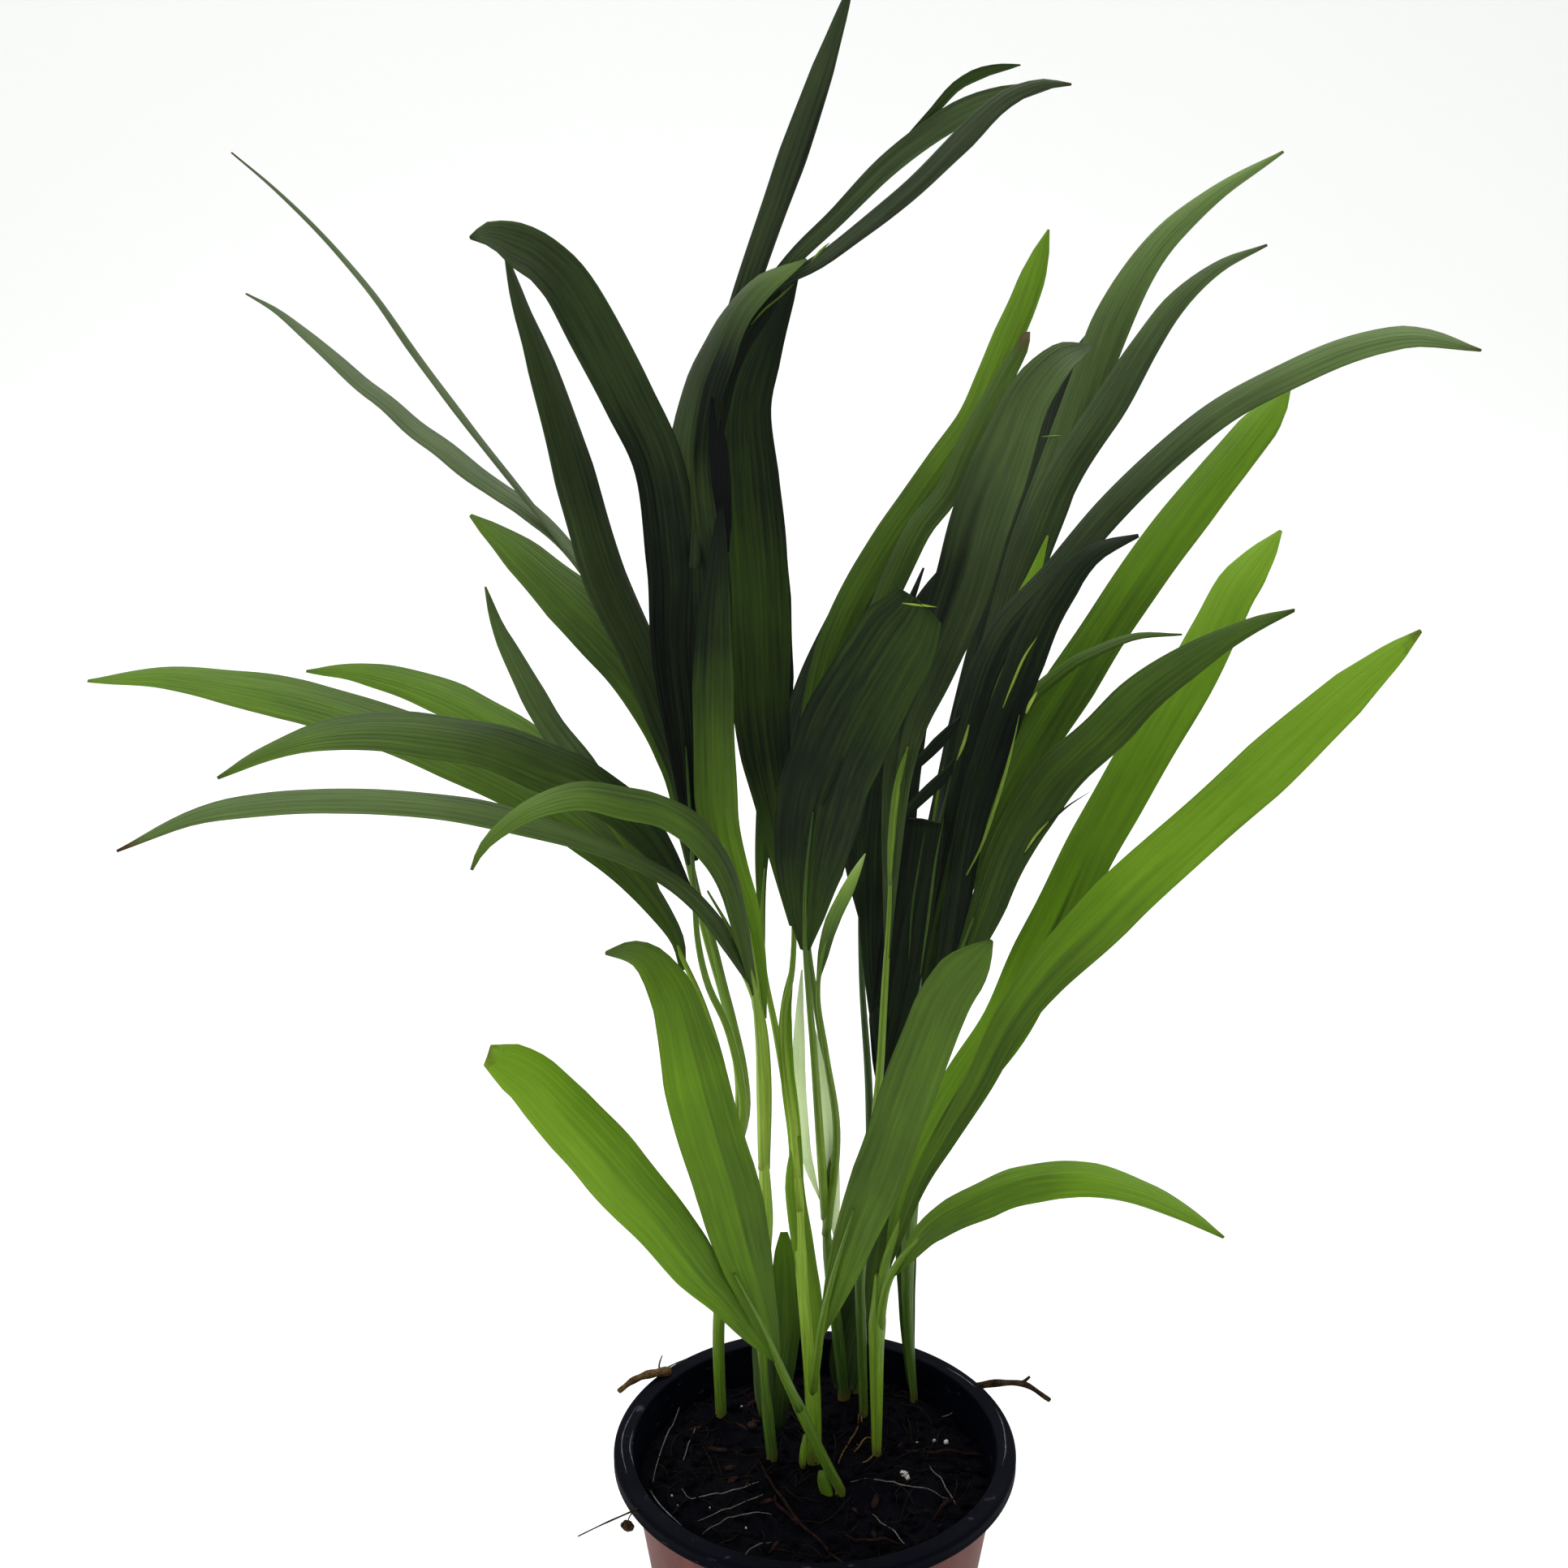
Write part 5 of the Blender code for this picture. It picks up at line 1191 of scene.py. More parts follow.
def stalks(name, plant):
    """The stem, all stalks, shoots and bright lines of one seedling as one piece."""
    blades = [blade_places(lobe) for frond in plant.fronds for lobe in frond.lobes]
    blades += [blade_places(lobe) for tone, grey, lobe in SHEATHS_AND_SHADE_STRIPS.get(name, [])]
    foot, top = (radius * MM for radius in plant.radii)
    stem_radii = (foot, foot, top, top * STEM_END)
    runs = [(stem_path(plant), STEM_PLACES, stem_radii, STEM_CORNERS, STALK_LIT[name][0])]
    for frond, tones in zip(plant.fronds, STALK_LIT[name][1:]):
        path = flowing(seen(frond.stalk), STALK_STEP)
        runs.append((path, (0, 0.5, 1), STALK_RADII, STALK_CORNERS, tones))
    laid_on = [(radius, tone, on_blade(line, blades)) for radius, tone, line in EDGE_HIGHLIGHTS_AND_MIDRIBS.get(name, [])]
    for radius, tone, spots in SHOOTS.get(name, []) + laid_on:
        path = flowing(seen(spots), LINE_STEP)
        radii = [radius * MM * share for share in LINE_SHARES]
        runs.append((path, np.linspace(0, 1, len(radii)), radii, LINE_CORNERS, (tone, tone)))
    parts = []
    for path, places, radii, corners, (low, high) in runs:
        t = np.linspace(0, 1, len(path))
        rings = carried(path, np.interp(t, places, radii), corners, ribbed)
        lit = np.interp(t, [0, 0.15, 1], [low * 0.8, low, high])[:, None] + np.zeros(corners)
        brown = np.interp(rings[..., 2], STAIN_HEIGHTS, [STAIN_MOST, 0])
        across = np.linspace(0, GIRTH_MM, corners, endpoint=False) + 0 * lit
        along = (t * len(path) * STALK_STEP / MM)[:, None] + 0 * lit
        parts.append((rings, (across, along), {"lit": lit, "brown": brown}))
    put_joined(f"{name}_stalks", parts, STALK, name)


for name, plant in SEEDLINGS.items():
    stalks(name, plant)

# %% [markdown]
# ## Pot finishes
# Cheap nursery pots are moulded or formed from two-coloured sheet: terracotta outside, black inside.
# The rim is rolled outwards, which brings the black inner side out and over. The terracotta has faint
# upright flow marks and soil dust, and the black is duller, with pale scuffs.

# %% Pot finishes
TERRACOTTA_STOPS = (
    (0.3, 0.095, 0.03, 0.026), (0.5, 0.115, 0.038, 0.032), (0.7, 0.135, 0.047, 0.039),
)
TERRACOTTA_DUST = (0.06, 0.03, 0.026)
NAVY_BLACK = (0.001, 0.0014, 0.004)
PALE_SCUFF = (0.06, 0.066, 0.095)


def scaled(tree, vector, scale):
    """The vector with each of its numbers scaled."""
    return add(tree, "ShaderNodeMapping", Vector=vector, Scale=scale).outputs[0]


def terracotta_finish():
    """Colour = terracotta + upright flow marks + dust; low bump from the marks and a fine grain."""
    finish, tree, shader = new_finish("terracotta_plastic")
    place = own_place(tree)
    flow = noise(tree, scaled(tree, place, (1, 1, 0.12)), 90.0, 3.0)
    dust = noise(tree, place, 45.0, 5.0, 0.65)
    grain = noise(tree, place, 900.0, 2.0)
    colour = blend_colours(tree, risen(tree, dust, 0.52, 0.8, 0.4), ramp(tree, flow, TERRACOTTA_STOPS),
                           TERRACOTTA_DUST)
    rough = sums(tree, "MULTIPLY_ADD", dust, 0.25, 0.38)
    fill(tree, shader, Base_Color=colour, Roughness=rough, Specular_IOR_Level=0.08)
    bumped(tree, shader, sums(tree, "MULTIPLY_ADD", flow, 1.0, grain), 0.00012)
    return finish


def black_finish():
    """Colour = navy black + pale scuffs that run round the pot; bump from the scuffs."""
    finish, tree, shader = new_finish("black_plastic")
    place = own_place(tree)
    scuffs = noise(tree, scaled(tree, place, (1, 1, 6)), 160.0, 5.0)
    colour = blend_colours(tree, risen(tree, scuffs, 0.64, 0.76, 0.7), NAVY_BLACK, PALE_SCUFF)
    rough = sums(tree, "MULTIPLY_ADD", noise(tree, place, 60.0, 4.0), 0.3, 0.5)
    fill(tree, shader, Base_Color=colour, Roughness=rough, Specular_IOR_Level=0.03)
    bumped(tree, shader, scuffs, 0.00015)
    return finish


TERRACOTTA = terracotta_finish()
BLACK = black_finish()
print("pot finishes:", TERRACOTTA.name, "and", BLACK.name)

# %% [markdown]
# ## The pot's profile
# The pot is a round body: one profile turned about the upright axis. The profile runs up the inside,
# over the rolled rim, down its short skirt, back up behind it and down the outside to the base. Round
# corners are short arcs, because a rim of soft plastic has no sharp edge.

# %% The pot's profile
RIM_RADIUS = 60 * MM
RIM_SKIRT = 4.5 * MM
RIM_GAP = 3.2 * MM
BASE_RADIUS = 40 * MM
WALL = 1.3 * MM
FLOOR = 1.6 * MM
FLOOR_RINGS = (8 * MM, 20 * MM, 34 * MM)


def body_radius(height):
    """The pot's outer radius under its rim: it grows evenly from the base to the top."""
    top = RIM_RADIUS - WALL - RIM_GAP
    return BASE_RADIUS + (top - BASE_RADIUS) * height / POT_HEIGHT


def corner(middle, radius, first, last, count):
    """Points of a round corner: middle + radius * (cos, sin) from one angle to another, degrees."""
    angle = np.radians(np.linspace(first, last, count))
    return np.column_stack([middle[0] + radius * np.cos(angle), middle[1] + radius * np.sin(angle)])


def pot_profile():
    """The profile's points, and how many of them come before the colour changes to terracotta."""
    inside = body_radius(POT_HEIGHT) - WALL
    lip = WALL / 2
    rise = np.linspace(0, 1, 14)[:, None]
    foot = np.array([[body_radius(FLOOR) - WALL, FLOOR]])
    black = np.vstack([
        [[radius, FLOOR] for radius in FLOOR_RINGS],
        foot + rise * (np.array([[inside, POT_HEIGHT - lip]]) - foot),
        corner((inside + lip, POT_HEIGHT - lip), lip, 165, 90, 5),
        [[RIM_RADIUS - 1.6 * MM, POT_HEIGHT]],
        corner((RIM_RADIUS - 1.2 * MM, POT_HEIGHT - 1.2 * MM), 1.2 * MM, 80, 0, 7),
        [[RIM_RADIUS - 0.15 * MM, POT_HEIGHT - 2.4 * MM], [RIM_RADIUS - 0.1 * MM, POT_HEIGHT - 3.4 * MM]],
        corner((RIM_RADIUS - 0.6 * MM, POT_HEIGHT - RIM_SKIRT + 0.6 * MM), 0.6 * MM, 0, -180, 9),
        [[RIM_RADIUS - WALL, POT_HEIGHT - WALL - 0.4 * MM]],
    ])
    heights = rise[:0:-1] * (POT_HEIGHT - 3 * MM)
    red = np.vstack([
        [[body_radius(POT_HEIGHT) + 0.4 * MM, POT_HEIGHT - WALL]],
        [[body_radius(POT_HEIGHT), POT_HEIGHT - 1.8 * MM]],
        np.column_stack([body_radius(heights), heights]),
        corner((BASE_RADIUS - MM, MM), MM, 0, -90, 6),
        [[radius, 0] for radius in FLOOR_RINGS[::-1]],
    ])
    return np.vstack([black, red]), len(black)


profile, black_rows = pot_profile()
print("pot profile:", len(profile), "points,", black_rows, "of them black")

# %% [markdown]
# ## Turning the pot and cutting its holes
# Turning the profile makes rings, which a skin joins. Inside and rim are black and the outside is
# terracotta, so each band of faces gets its own finish. The drain holes are cut with a Boolean, the
# quickest clean way to put round holes in a turned floor.

# %% Turning the pot and cutting its holes
DRAIN_HOLES = 6
DRAIN_RADIUS = 3.5 * MM
DRAIN_RING = 27 * MM
DRAIN_CORNERS = 24
POT_STEPS = 180
SHARP_EDGE = math.radians(40)


def turned(profile, steps):
    """The profile turned about Z: point = (r cos a, r sin a, z), and both ends closed.
    The first spoke is half a step round, so that none runs through a drain hole's middle."""
    angle = (np.arange(steps)[::-1] + 0.5) * math.tau / steps
    radius, height = profile[:, :1], profile[:, 1:] + 0 * angle
    return skins(np.stack([radius * np.cos(angle), radius * np.sin(angle), height], axis=-1)[None])


def cut_holes(piece, spots, radius, low, high):
    """Round holes cut through the piece at the spots, for good."""
    paths = [np.array([[x, y, low], [x, y, high]]) for x, y in spots]
    points, faces = skins(np.array([carried(path, [radius, radius], DRAIN_CORNERS) for path in paths]))
    mesh = bpy.data.meshes.new("cutter")
    mesh.from_pydata(points.tolist(), [], faces)
    cutter = bpy.data.objects.new("cutter", mesh)
    bpy.context.scene.collection.objects.link(cutter)
    cut = piece.modifiers.new("holes", "BOOLEAN")
    cut.operation = "DIFFERENCE"
    cut.object = cutter
    cut.solver = "EXACT"
    bpy.context.view_layer.update()
    graph = bpy.context.evaluated_depsgraph_get()
    piece.data = bpy.data.meshes.new_from_object(piece.evaluated_get(graph))
    piece.modifiers.clear()
    bpy.data.objects.remove(cutter)


pot = put("nursery_pot", turned(profile, POT_STEPS), [BLACK, TERRACOTTA], ["pot"])
# Bands from ring to ring, then the two closed ends: the floor inside is black, the base isn't
red_bands = np.append(np.arange(len(profile) - 1) >= black_rows, [False, True])
pot.data.polygons.foreach_set("material_index", np.repeat(red_bands, POT_STEPS).astype(np.int32))
turns = math.tau * np.arange(DRAIN_HOLES) / DRAIN_HOLES
drains = np.column_stack([np.cos(turns), np.sin(turns)]) * DRAIN_RING
cut_holes(pot, drains, DRAIN_RADIUS, -FLOOR, 2 * FLOOR)
pot.data.shade_smooth()
pot.data.set_sharp_from_angle(angle=SHARP_EDGE)
print("the pot with its holes:", len(pot.data.polygons), "faces")

# %% [markdown]
# ## Potting mix finish
# Damp coir and peat look nearly black, with rusty and dun flecks. Noise at two sizes gives the flecks
# and a rough surface; the crumbs and fibres on top are real geometry.

# %% Potting mix finish
def crumbly_finish(name, dark, fleck, scale, roughness):
    """Colour = dark, turned to the fleck colour where a fine noise is high; bump from both noises."""
    finish, tree, shader = new_finish(name)
    place = own_place(tree)
    coarse = noise(tree, place, scale, 4.0, 0.6)
    fine = noise(tree, place, scale * 7, 3.0, 0.6)
    mixed = sums(tree, "MULTIPLY_ADD", coarse, 0.5, sums(tree, "MULTIPLY", fine, 0.5))
    colour = blend_colours(tree, risen(tree, mixed, 0.46, 0.72), dark, fleck)
    fill(tree, shader, Base_Color=colour, Roughness=roughness, Specular_IOR_Level=0.04)
    bumped(tree, shader, mixed, 0.0008)
    return finish


MIX = crumbly_finish("potting_mix", (0.0008, 0.001, 0.0026), (0.004, 0.003, 0.0035), 180.0, 0.95)
BARK = crumbly_finish("bark_chip", (0.008, 0.004, 0.0035), (0.04, 0.018, 0.012), 260.0, 0.8)
COIR = crumbly_finish("coir_fibre", (0.005, 0.004, 0.004), (0.02, 0.012, 0.009), 300.0, 0.8)
STRAW = crumbly_finish("pale_fibre", (0.09, 0.08, 0.075), (0.3, 0.28, 0.26), 200.0, 0.6)
ROOT = crumbly_finish("root_skin", (0.06, 0.035, 0.012), (0.24, 0.17, 0.05), 260.0, 0.6)
TWIG = crumbly_finish("twig_bark", (0.01, 0.0065, 0.004), (0.09, 0.055, 0.025), 220.0, 0.85)
RIM_LINE_FINISH = crumbly_finish("rim_line_plastic", (0.06, 0.064, 0.08), (0.3, 0.31, 0.35), 300.0, 0.7)
WOODY = crumbly_finish("dry_twig", (0.05, 0.026, 0.01), (0.2, 0.13, 0.06), 220.0, 0.85)
PERLITE = crumbly_finish("perlite", (0.5, 0.48, 0.45), (0.75, 0.74, 0.72), 500.0, 0.85)
print("finishes so far:", len(bpy.data.materials))

# %% [markdown]
# ## The bed of potting mix
# The bed fills the pot and its top is uneven. A grid of rings and spokes, lifted by a sum of waves,
# gives low mounds, and a band of wall under it goes down inside the pot, so the bed is a closed body.

# %% The bed of potting mix
BED_GAP = 0.3 * MM
EDGE_DIP = 2 * MM
EDGE_BAND = 9 * MM
BED_RADIUS = body_radius(SOIL_TOP) - WALL - BED_GAP
BED_STEPS = 200
BED_RINGS = 84
WAVE_SIZES = (26 * MM, 11 * MM, 4.5 * MM)
WAVE_RISES = (0.45 * MM, 0.35 * MM, 0.22 * MM)
WAVES_EACH = 14
soil_random = np.random.default_rng(23)
WAVES = [(soil_random.normal(size=(WAVES_EACH, 2)), soil_random.uniform(0, math.tau, WAVES_EACH))
         for _ in WAVE_SIZES]


def bed_height(x, y):
    """Top - dip near the wall + for each size a sum of sin(2 pi 0.6 (x, y).d / size + phase), where
    every d is a random direction, and a smaller size counts for less."""
    away = np.hypot(x, y)
    edge = np.clip((away - (BED_RADIUS - EDGE_BAND)) / EDGE_BAND, 0, 1)
    height = SOIL_TOP - EDGE_DIP * edge**1.5
    for (ways, phases), size, rise in zip(WAVES, WAVE_SIZES, WAVE_RISES):
        run = (x[..., None] * ways[:, 0] + y[..., None] * ways[:, 1]) / size * math.tau * 0.6
        height = height + rise * np.sin(run + phases).sum(axis=-1) / math.sqrt(WAVES_EACH / 2)
    return height


def bed():
    """Rings of the top from the middle out, then the wall down to the pot's floor."""
    share = np.linspace(0, 1, BED_RINGS)[1:, None] ** 0.8
    angle = np.linspace(0, math.tau, BED_STEPS, endpoint=False)
    x, y = share * BED_RADIUS * np.cos(angle), share * BED_RADIUS * np.sin(angle)
    top = np.stack([x, y, bed_height(x, y)], axis=-1)
    low = FLOOR + BED_GAP
    heights = low + (SOIL_TOP - EDGE_DIP - low) * np.linspace(1, 0, 6)[1:, None]
    radii = body_radius(heights) - WALL - BED_GAP
    wall = np.stack([radii * np.cos(angle), radii * np.sin(angle), heights + 0 * angle], axis=-1)
    return np.concatenate([top, wall])[:, ::-1]


put("potting_bed", skins(bed()[None]), [MIX], ["soil"])

# %% [markdown]
# ## Crumbs, chips and perlite
# Loose bits lie on the bed: crumbs of peat, slivers of bark, and a few white grains of perlite. Each is
# a small ball pushed out of round by noise and stretched. One array holds them all, and each has few
# faces because there are hundreds.

# %% Crumbs, chips and perlite
CRUMBS = 900
CHIPS = 24
LOOSE_GRAINS = 12
GRAINS_SEEN = [(1130, 1780), (1166, 1778), (1113, 1818), (1151, 1776), (1118, 1822)]
GRAIN_SIZES = [0.7, 0.7, 1.1, 0.5, 0.8]


def lumps(spots, sizes, random, rows=6, around=8, rough=0.25):
    """Balls at the spots: rings of latitude, point = size * noise * (cos a sin b, sin a sin b, cos b),
    each turned by its own random turn. Sizes are three half lengths."""
    count = len(spots)
    b = np.linspace(0, math.pi, rows + 2)[1:-1, None]
    a = np.linspace(0, math.tau, around, endpoint=False)
    ball = np.stack([np.sin(b) * np.cos(a), np.sin(b) * np.sin(a), np.cos(b) + 0 * a], axis=-1)
    ball = ball[None] * (1 + rough * random.normal(size=(count, rows, around, 1)))
    ball = ball * np.asarray(sizes)[:, None, None]
    turn = random.uniform(0, math.tau, count)[:, None, None]
    x = ball[..., 0] * np.cos(turn) - ball[..., 1] * np.sin(turn)
    y = ball[..., 0] * np.sin(turn) + ball[..., 1] * np.cos(turn)
    rings = np.stack([x, y, ball[..., 2]], axis=-1) + np.asarray(spots)[:, None, None]
    return skins(rings[:, ::-1])


def scattered(count, random, reach, sink):
    """Random places on the bed, evenly spread over its area, and sunk into it by this much."""
    away = BED_RADIUS * reach * np.sqrt(random.uniform(0, 1, count))
    angle = random.uniform(0, math.tau, count)
    x, y = away * np.cos(angle), away * np.sin(angle)
    return np.column_stack([x, y, bed_height(x, y) - sink])


crumb_random = np.random.default_rng(41)
size = crumb_random.gamma(3, 0.32 * MM, CRUMBS).clip(0.35 * MM, 2.6 * MM)
spots = scattered(CRUMBS, crumb_random, 0.97, 0.3 * MM)
crumbs = lumps(spots, size[:, None] * crumb_random.uniform(0.6, 1.2, (CRUMBS, 3)), crumb_random)
put("peat_crumbs", crumbs, [MIX])

spots = scattered(CHIPS, crumb_random, 0.92, -0.2 * MM)
chip_sizes = [crumb_random.uniform(low, high, CHIPS) for low, high in ((1.6, 4.2), (0.5, 1.3), (0.2, 0.5))]
chips = lumps(spots, np.column_stack(chip_sizes) * MM, crumb_random, rough=0.12)
put("bark_chips", chips, [BARK])

spots = at_height(GRAINS_SEEN, SOIL_TOP)
spots[:, 2] = bed_height(spots[:, 0], spots[:, 1]) + 0.4 * MM
spots = np.vstack([spots, scattered(LOOSE_GRAINS, crumb_random, 0.9, -0.1 * MM)])
size = np.append(GRAIN_SIZES, crumb_random.uniform(0.2, 0.4, LOOSE_GRAINS))[:, None] * MM
grains = lumps(spots, size * crumb_random.uniform(0.8, 1.2, (len(spots), 3)), crumb_random)
put("perlite_grains", grains, [PERLITE])

# %% [markdown]
# ## Fibres
# Coir is full of wiry fibres. Most are dark and lie any way. A fibre is a thin tube along a curve on
# the bed, with a random start, heading and bend, and all are worked out at once as one array.

# %% Fibres
FIBRES = 180
FIBRE_LENGTHS = (5 * MM, 22 * MM)
FIBRE_RADII = (0.1 * MM, 0.28 * MM)
FIBRE_ROWS = 12


def fibre_skins(paths, radii, around=6):
    """Tubes along many paths at once: paths as (pieces, rows, 3), radii as (pieces, rows). The ring's
    axes are the level direction square to the path, and the one square to both."""
    ahead = unit(np.gradient(paths, axis=1))
    side = unit(np.cross(ahead, [0, 0, 1.0]) + 1e-9)
    up = np.cross(side, ahead)
    angle = np.linspace(0, math.tau, around, endpoint=False)
    ring = np.cos(angle)[:, None] * up[:, :, None] + np.sin(angle)[:, None] * side[:, :, None]
    return skins(paths[:, :, None] + radii[:, :, None, None] * ring)


def slender(s, ends):
    """Thin at both ends, full in the middle: ends + (1 - ends) * sin(pi (0.1 + 0.8 s))."""
    return ends + (1 - ends) * np.sin(math.pi * (0.1 + 0.8 * s))


def loose_fibres(random):
    """Arcs on the bed: a start, a heading that turns evenly, and a height that follows the bed."""
    start = scattered(FIBRES, random, 0.9, 0)
    heading = random.uniform(0, math.tau, FIBRES)[:, None]
    bend = random.normal(0, 1.1, FIBRES)[:, None]
    step = random.uniform(*FIBRE_LENGTHS, FIBRES)[:, None] / FIBRE_ROWS
    s = np.linspace(0, 1, FIBRE_ROWS)
    angle = heading + bend * s
    x = start[:, :1] + step * np.cumsum(np.cos(angle), axis=1)
    y = start[:, 1:2] + step * np.cumsum(np.sin(angle), axis=1)
    pull = np.minimum(1, (BED_RADIUS - 1.5 * MM) / np.hypot(x, y))
    x, y = x * pull, y * pull
    hop = random.uniform(0.1, 1.6, FIBRES)[:, None] * MM * np.sin(math.pi * s)
    z = bed_height(x, y) + hop + 0.1 * MM
    radii = random.uniform(*FIBRE_RADII, FIBRES)[:, None] * slender(s, 0.35)
    return fibre_skins(np.stack([x, y, z], axis=-1), radii)


put("coir_fibres", loose_fibres(np.random.default_rng(59)), [COIR])

# %% [markdown]
# ## Fibres and roots that show
# A few fibres are bleached and show as fine pale lines, and some brown roots and hair roots lie
# between them. They follow the lines seen in the picture, where the ray meets the soil's level, and
# are lifted a little in their middle, as a springy fibre is.

# %% Fibres and roots that show
PALE_FIBRES = [
    [(842, 1692), (838, 1730), (822, 1775), (809, 1812), (803, 1840)],
    [(857, 1760), (851, 1782), (842, 1805)],
    [(840, 1838), (852, 1850), (885, 1849), (935, 1830)],
    [(860, 1877), (900, 1864), (940, 1845)],
    [(1040, 1831), (1075, 1830), (1120, 1835), (1168, 1846)],
    [(1145, 1802), (1160, 1828), (1178, 1852)],
    [(1075, 1865), (1095, 1888), (1115, 1905)],
    [(950, 1903), (928, 1915), (905, 1932)],
    [(865, 1893), (905, 1876), (952, 1866)],
    [(1160, 1742), (1185, 1736), (1215, 1733)],
    [(1147, 1722), (1180, 1714), (1210, 1706)],
]
BROWN_FIBRES = [
    [(935, 1800), (950, 1830), (972, 1862), (1005, 1898), (1045, 1932)],
    [(955, 1845), (958, 1858), (985, 1878)],
    [(1040, 1892), (1070, 1902), (1110, 1905)],
    [(1150, 1870), (1165, 1855), (1170, 1845)],
    [(1115, 1789), (1165, 1791), (1225, 1786)],
]
ROOT_HAIRS = [
    [(1058, 1745), (1056, 1768), (1044, 1785), (1033, 1803)],
    [(1084, 1778), (1068, 1780), (1052, 1792)],
    [(1084, 1780), (1083, 1792), (1074, 1801), (1060, 1806)],
    [(1060, 1742), (1062, 1760), (1058, 1772)],
]
LAID_ROWS = 16


def laid(lines, radius, lift):
    """Tubes through spots seen on the bed, each lifted a little off it in its middle."""
    s = np.linspace(0, 1, LAID_ROWS)
    paths = [flowing(at_height(line, SOIL_TOP), 2 * MM) for line in lines]
    even = np.array([[np.interp(s, np.linspace(0, 1, len(path)), axis) for axis in path.T]
                     for path in paths])
    x, y = even[:, 0], even[:, 1]
    z = bed_height(x, y) + lift * (0.3 + np.sin(math.pi * s))
    return fibre_skins(np.stack([x, y, z], axis=-1), radius * slender(s, 0.5) + 0 * x)


put("pale_fibres", laid(PALE_FIBRES, 0.17 * MM, 1.2 * MM), [STRAW])
put("brown_roots", laid(BROWN_FIBRES, 0.5 * MM, 1.0 * MM), [BARK])
put("root_hairs", laid(ROOT_HAIRS, 0.28 * MM, 1.4 * MM), [ROOT])

# %% [markdown]
# ## Twigs over the rim
# A forked twig lies on the bed and sticks out over the right of the rim. On the left a shorter twig
# lies on the rim with bits of fibre, and a thin root comes off the bed over it. A small clod hangs
# there on a hair root. Thin pale lines run along the rim's top.

# %% Twigs over the rim
# Finish, radius in mm, and the spots, each as (px, py, mm over the rim's top)
TWIGS = {
    "forked_twig": (TWIG, 1.5, [
        (1186, 1713, -5), (1208, 1707, -1), (1232, 1704, 1), (1263, 1706, 3), (1293, 1725, 3),
    ]),
    "twig_fork": (TWIG, 0.8, [(1255, 1704, 2.4), (1262, 1702, 4), (1269, 1696, 5.5)]),
    "left_twig": (WOODY, 1.7, [
        (824, 1690, 0.2), (812, 1691, 1.2), (797, 1694, 1.9), (780, 1701, 2.4), (763, 1714, 2),
    ]),
    "left_debris": (STRAW, 0.5, [(814, 1693, -0.1), (812, 1682, 3), (816, 1670, 5.5)]),
    "left_fluff": (STRAW, 0.35, [(815, 1690, 0.4), (828, 1682, 1.5), (846, 1674, 1.5)]),
    "clod_root": (TWIG, 0.3, [(781, 1861, 0.4), (775, 1870, -1), (773, 1879, -2.3)]),
    "left_root": (TWIG, 0.4, [(800, 1852, -5), (779, 1862, 0.4), (745, 1877, 1), (712, 1893, -0.5)]),
}
# Thin pale lines along the rim's top, each as (px, py)
RIM_PALE_LINES = [
    [(772, 1815), (766, 1785), (770, 1760), (784, 1733)], [(781, 1806), (776, 1783), (780, 1762)],
    [(1227, 1735), (1236, 1757), (1239, 1785), (1235, 1806)], [(1166, 1685), (1186, 1697), (1203, 1710)],
    [(800, 1835), (815, 1856), (840, 1880)],
]
RIM_LINE_RADIUS = 0.2 * MM
RIM_LINE_SINK = 0.02 * MM
CLOD_SEEN = (773, 1880)
CLOD_DROP = 2.5 * MM
CLOD_SIZES = np.array([[2.0, 1.6, 1.5]]) * MM

for name, (finish, radius, spots) in TWIGS.items():
    path = flowing([at_height([(px, py)], POT_HEIGHT + over * MM)[0] for px, py, over in spots], 1.5 * MM)
    t = np.linspace(0, 1, len(path))
    rings = carried(path, radius * MM * (1 - 0.55 * t) * (1 + 0.12 * np.sin(t * 21)), 9, ribbed)
    put(name, skins(rings[None]), [finish])

for number, line in enumerate(RIM_PALE_LINES):
    path = flowing(at_height(line, POT_HEIGHT - RIM_LINE_SINK), 1.5 * MM)
    t = np.linspace(0.06, 0.94, len(path))
    rings = carried(path, RIM_LINE_RADIUS * np.sin(math.pi * t), 6)
    put(f"rim_pale_line_{number}", skins(rings[None]), [RIM_LINE_FINISH])

clod_spot = at_height([CLOD_SEEN], POT_HEIGHT - CLOD_DROP)
clod = lumps(clod_spot, CLOD_SIZES, np.random.default_rng(5), 10, 14, 0.06)
put("rim_clod", clod, [TWIG])

# %% [markdown]
# ## Floor and light
# The plant stood before a bright, even white. A pale floor that curves up behind it into a wall has no
# corner to see. The light is a white surround, a large soft panel above and behind, so that the thin
# leaves glow at their edges, and a smaller one on the left.

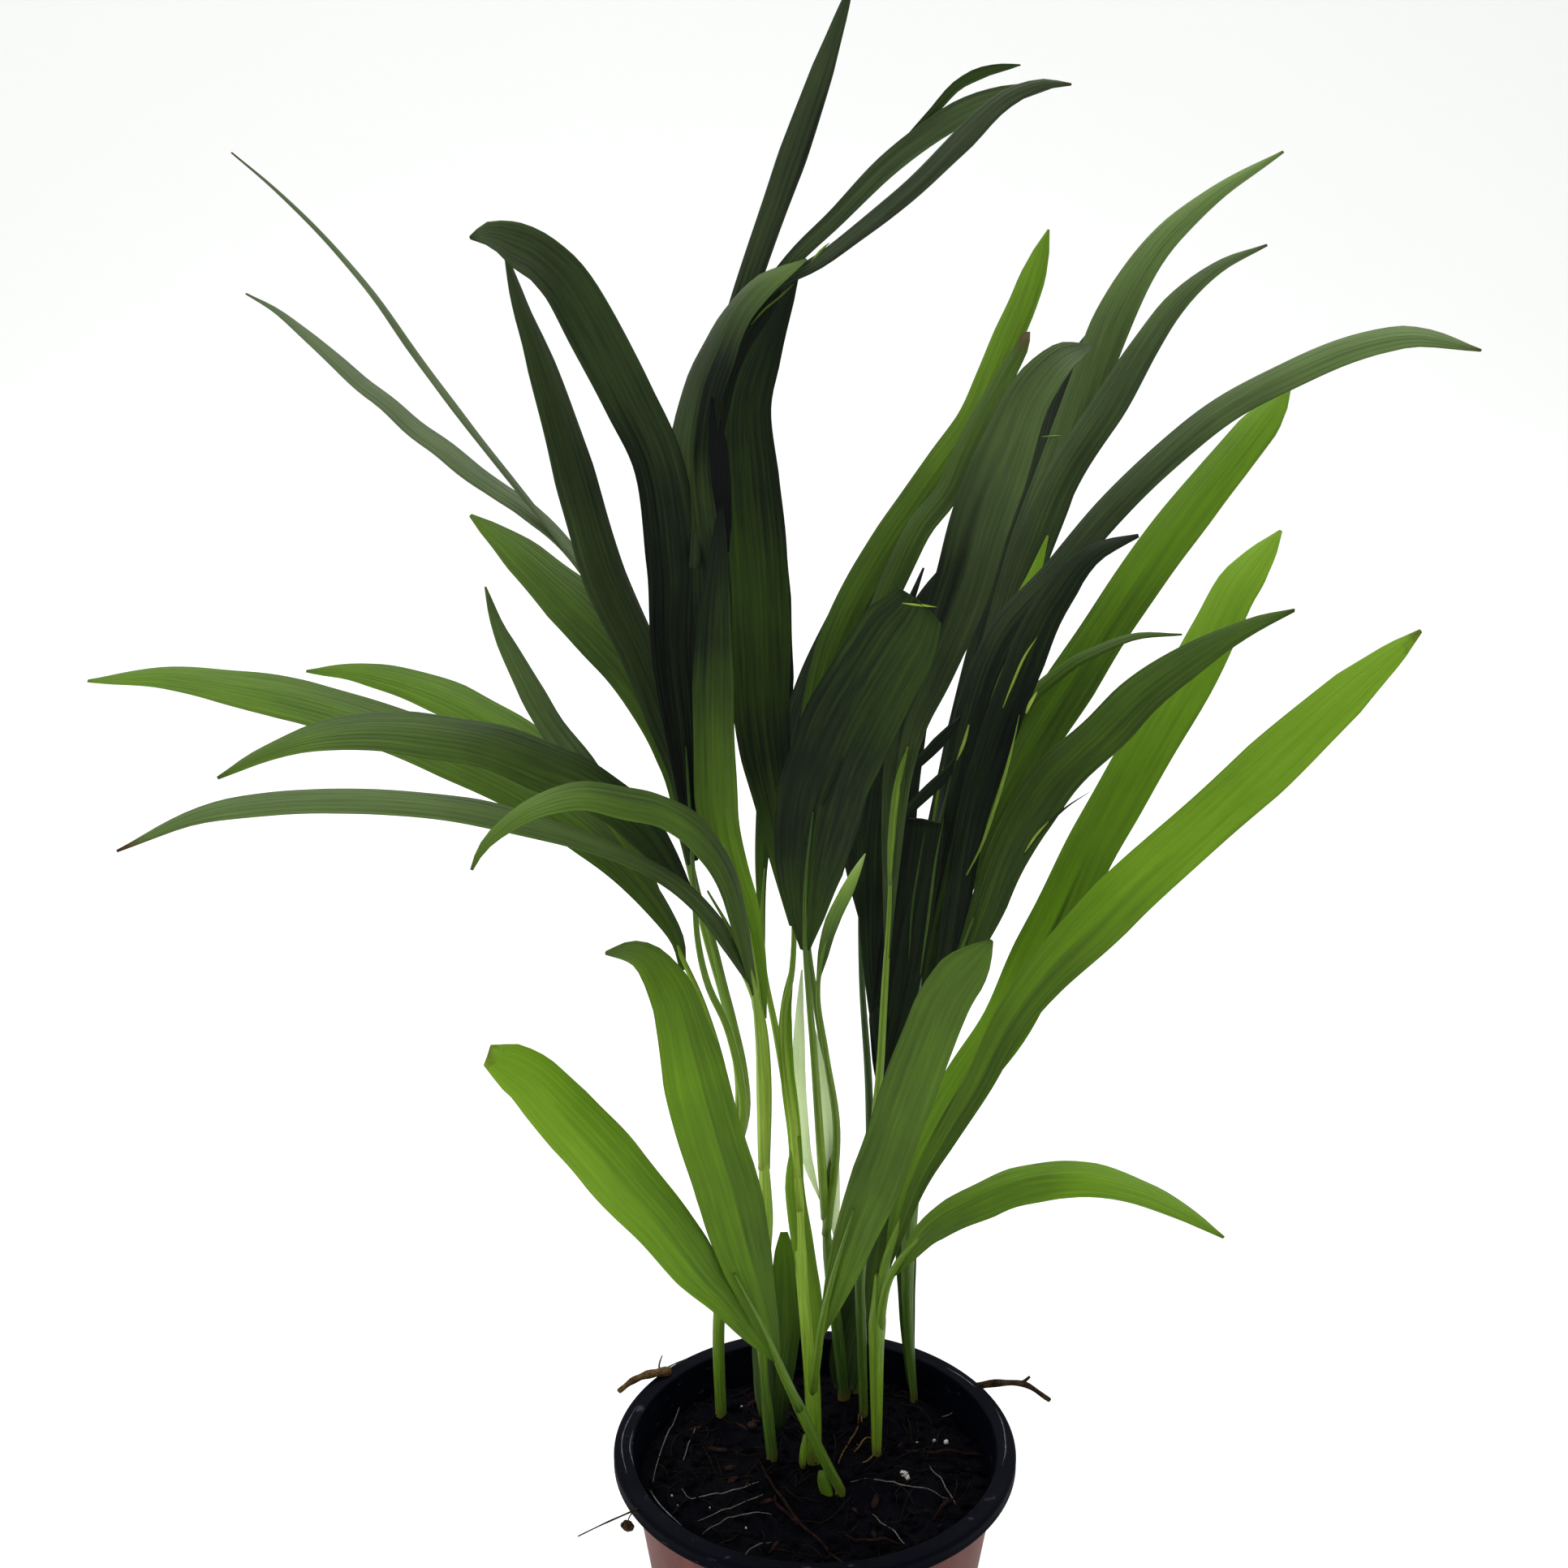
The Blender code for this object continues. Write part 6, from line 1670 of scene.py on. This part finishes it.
# %% Floor and light
FLOOR_FRONT = -3.0
CURVE_START = 2.0
CURVE_RADIUS = 0.8
WALL_TOP = 3.5
HALF_WIDTH = 4.0
BACKDROP_WHITE = (0.93, 0.94, 0.93, 1)
SURROUND = 0.9


def backdrop():
    """A sheet: flat floor, a quarter circle, then an upright wall, the same all along X."""
    turn = np.radians(np.linspace(0, 90, 20))
    y = np.array([FLOOR_FRONT, *(CURVE_START + CURVE_RADIUS * np.sin(turn)), CURVE_START + CURVE_RADIUS])
    z = np.array([0.0, *(CURVE_RADIUS - CURVE_RADIUS * np.cos(turn)), WALL_TOP])
    ends = [np.column_stack([0 * y + x, y, z]) for x in (-HALF_WIDTH, HALF_WIDTH)]
    i = np.arange(len(y) - 1) * 2
    mesh = bpy.data.meshes.new("backdrop")
    mesh.from_pydata(np.stack(ends, axis=1).reshape(-1, 3).tolist(), [],
                     np.column_stack([i, i + 1, i + 3, i + 2]).tolist())
    mesh.shade_smooth()
    finish, tree, shader = new_finish("white_backdrop")
    fill(tree, shader, Base_Color=BACKDROP_WHITE, Roughness=0.9)
    mesh.materials.append(finish)
    sheet = bpy.data.objects.new("backdrop", mesh)
    bpy.context.scene.collection.objects.link(sheet)


def panel(name, place, target, size, watts):
    """A square area light at a place, facing a target."""
    light = bpy.data.lights.new(name, "AREA")
    light.size = size
    light.energy = watts
    lamp = bpy.data.objects.new(name, light)
    lamp.location = place
    way = unit(np.subtract(target, place))
    lamp.rotation_euler = (math.acos(-way[2]), 0, math.atan2(way[1], way[0]) - math.pi / 2)
    bpy.context.scene.collection.objects.link(lamp)


backdrop()
panel("top_panel", (0.1, 0.9, 1.9), (0, 0, 0.3), 1.6, 22)
panel("left_panel", (-1.6, -0.6, 1.3), (0, 0, 0.25), 1.2, 9)
world = bpy.data.worlds.new("surround")
world.use_nodes = True
fill(world.node_tree, world.node_tree.nodes["Background"], Color=(1, 1, 1, 1), Strength=SURROUND)
bpy.context.scene.world = world
bpy.context.scene.view_settings.view_transform = "Standard"
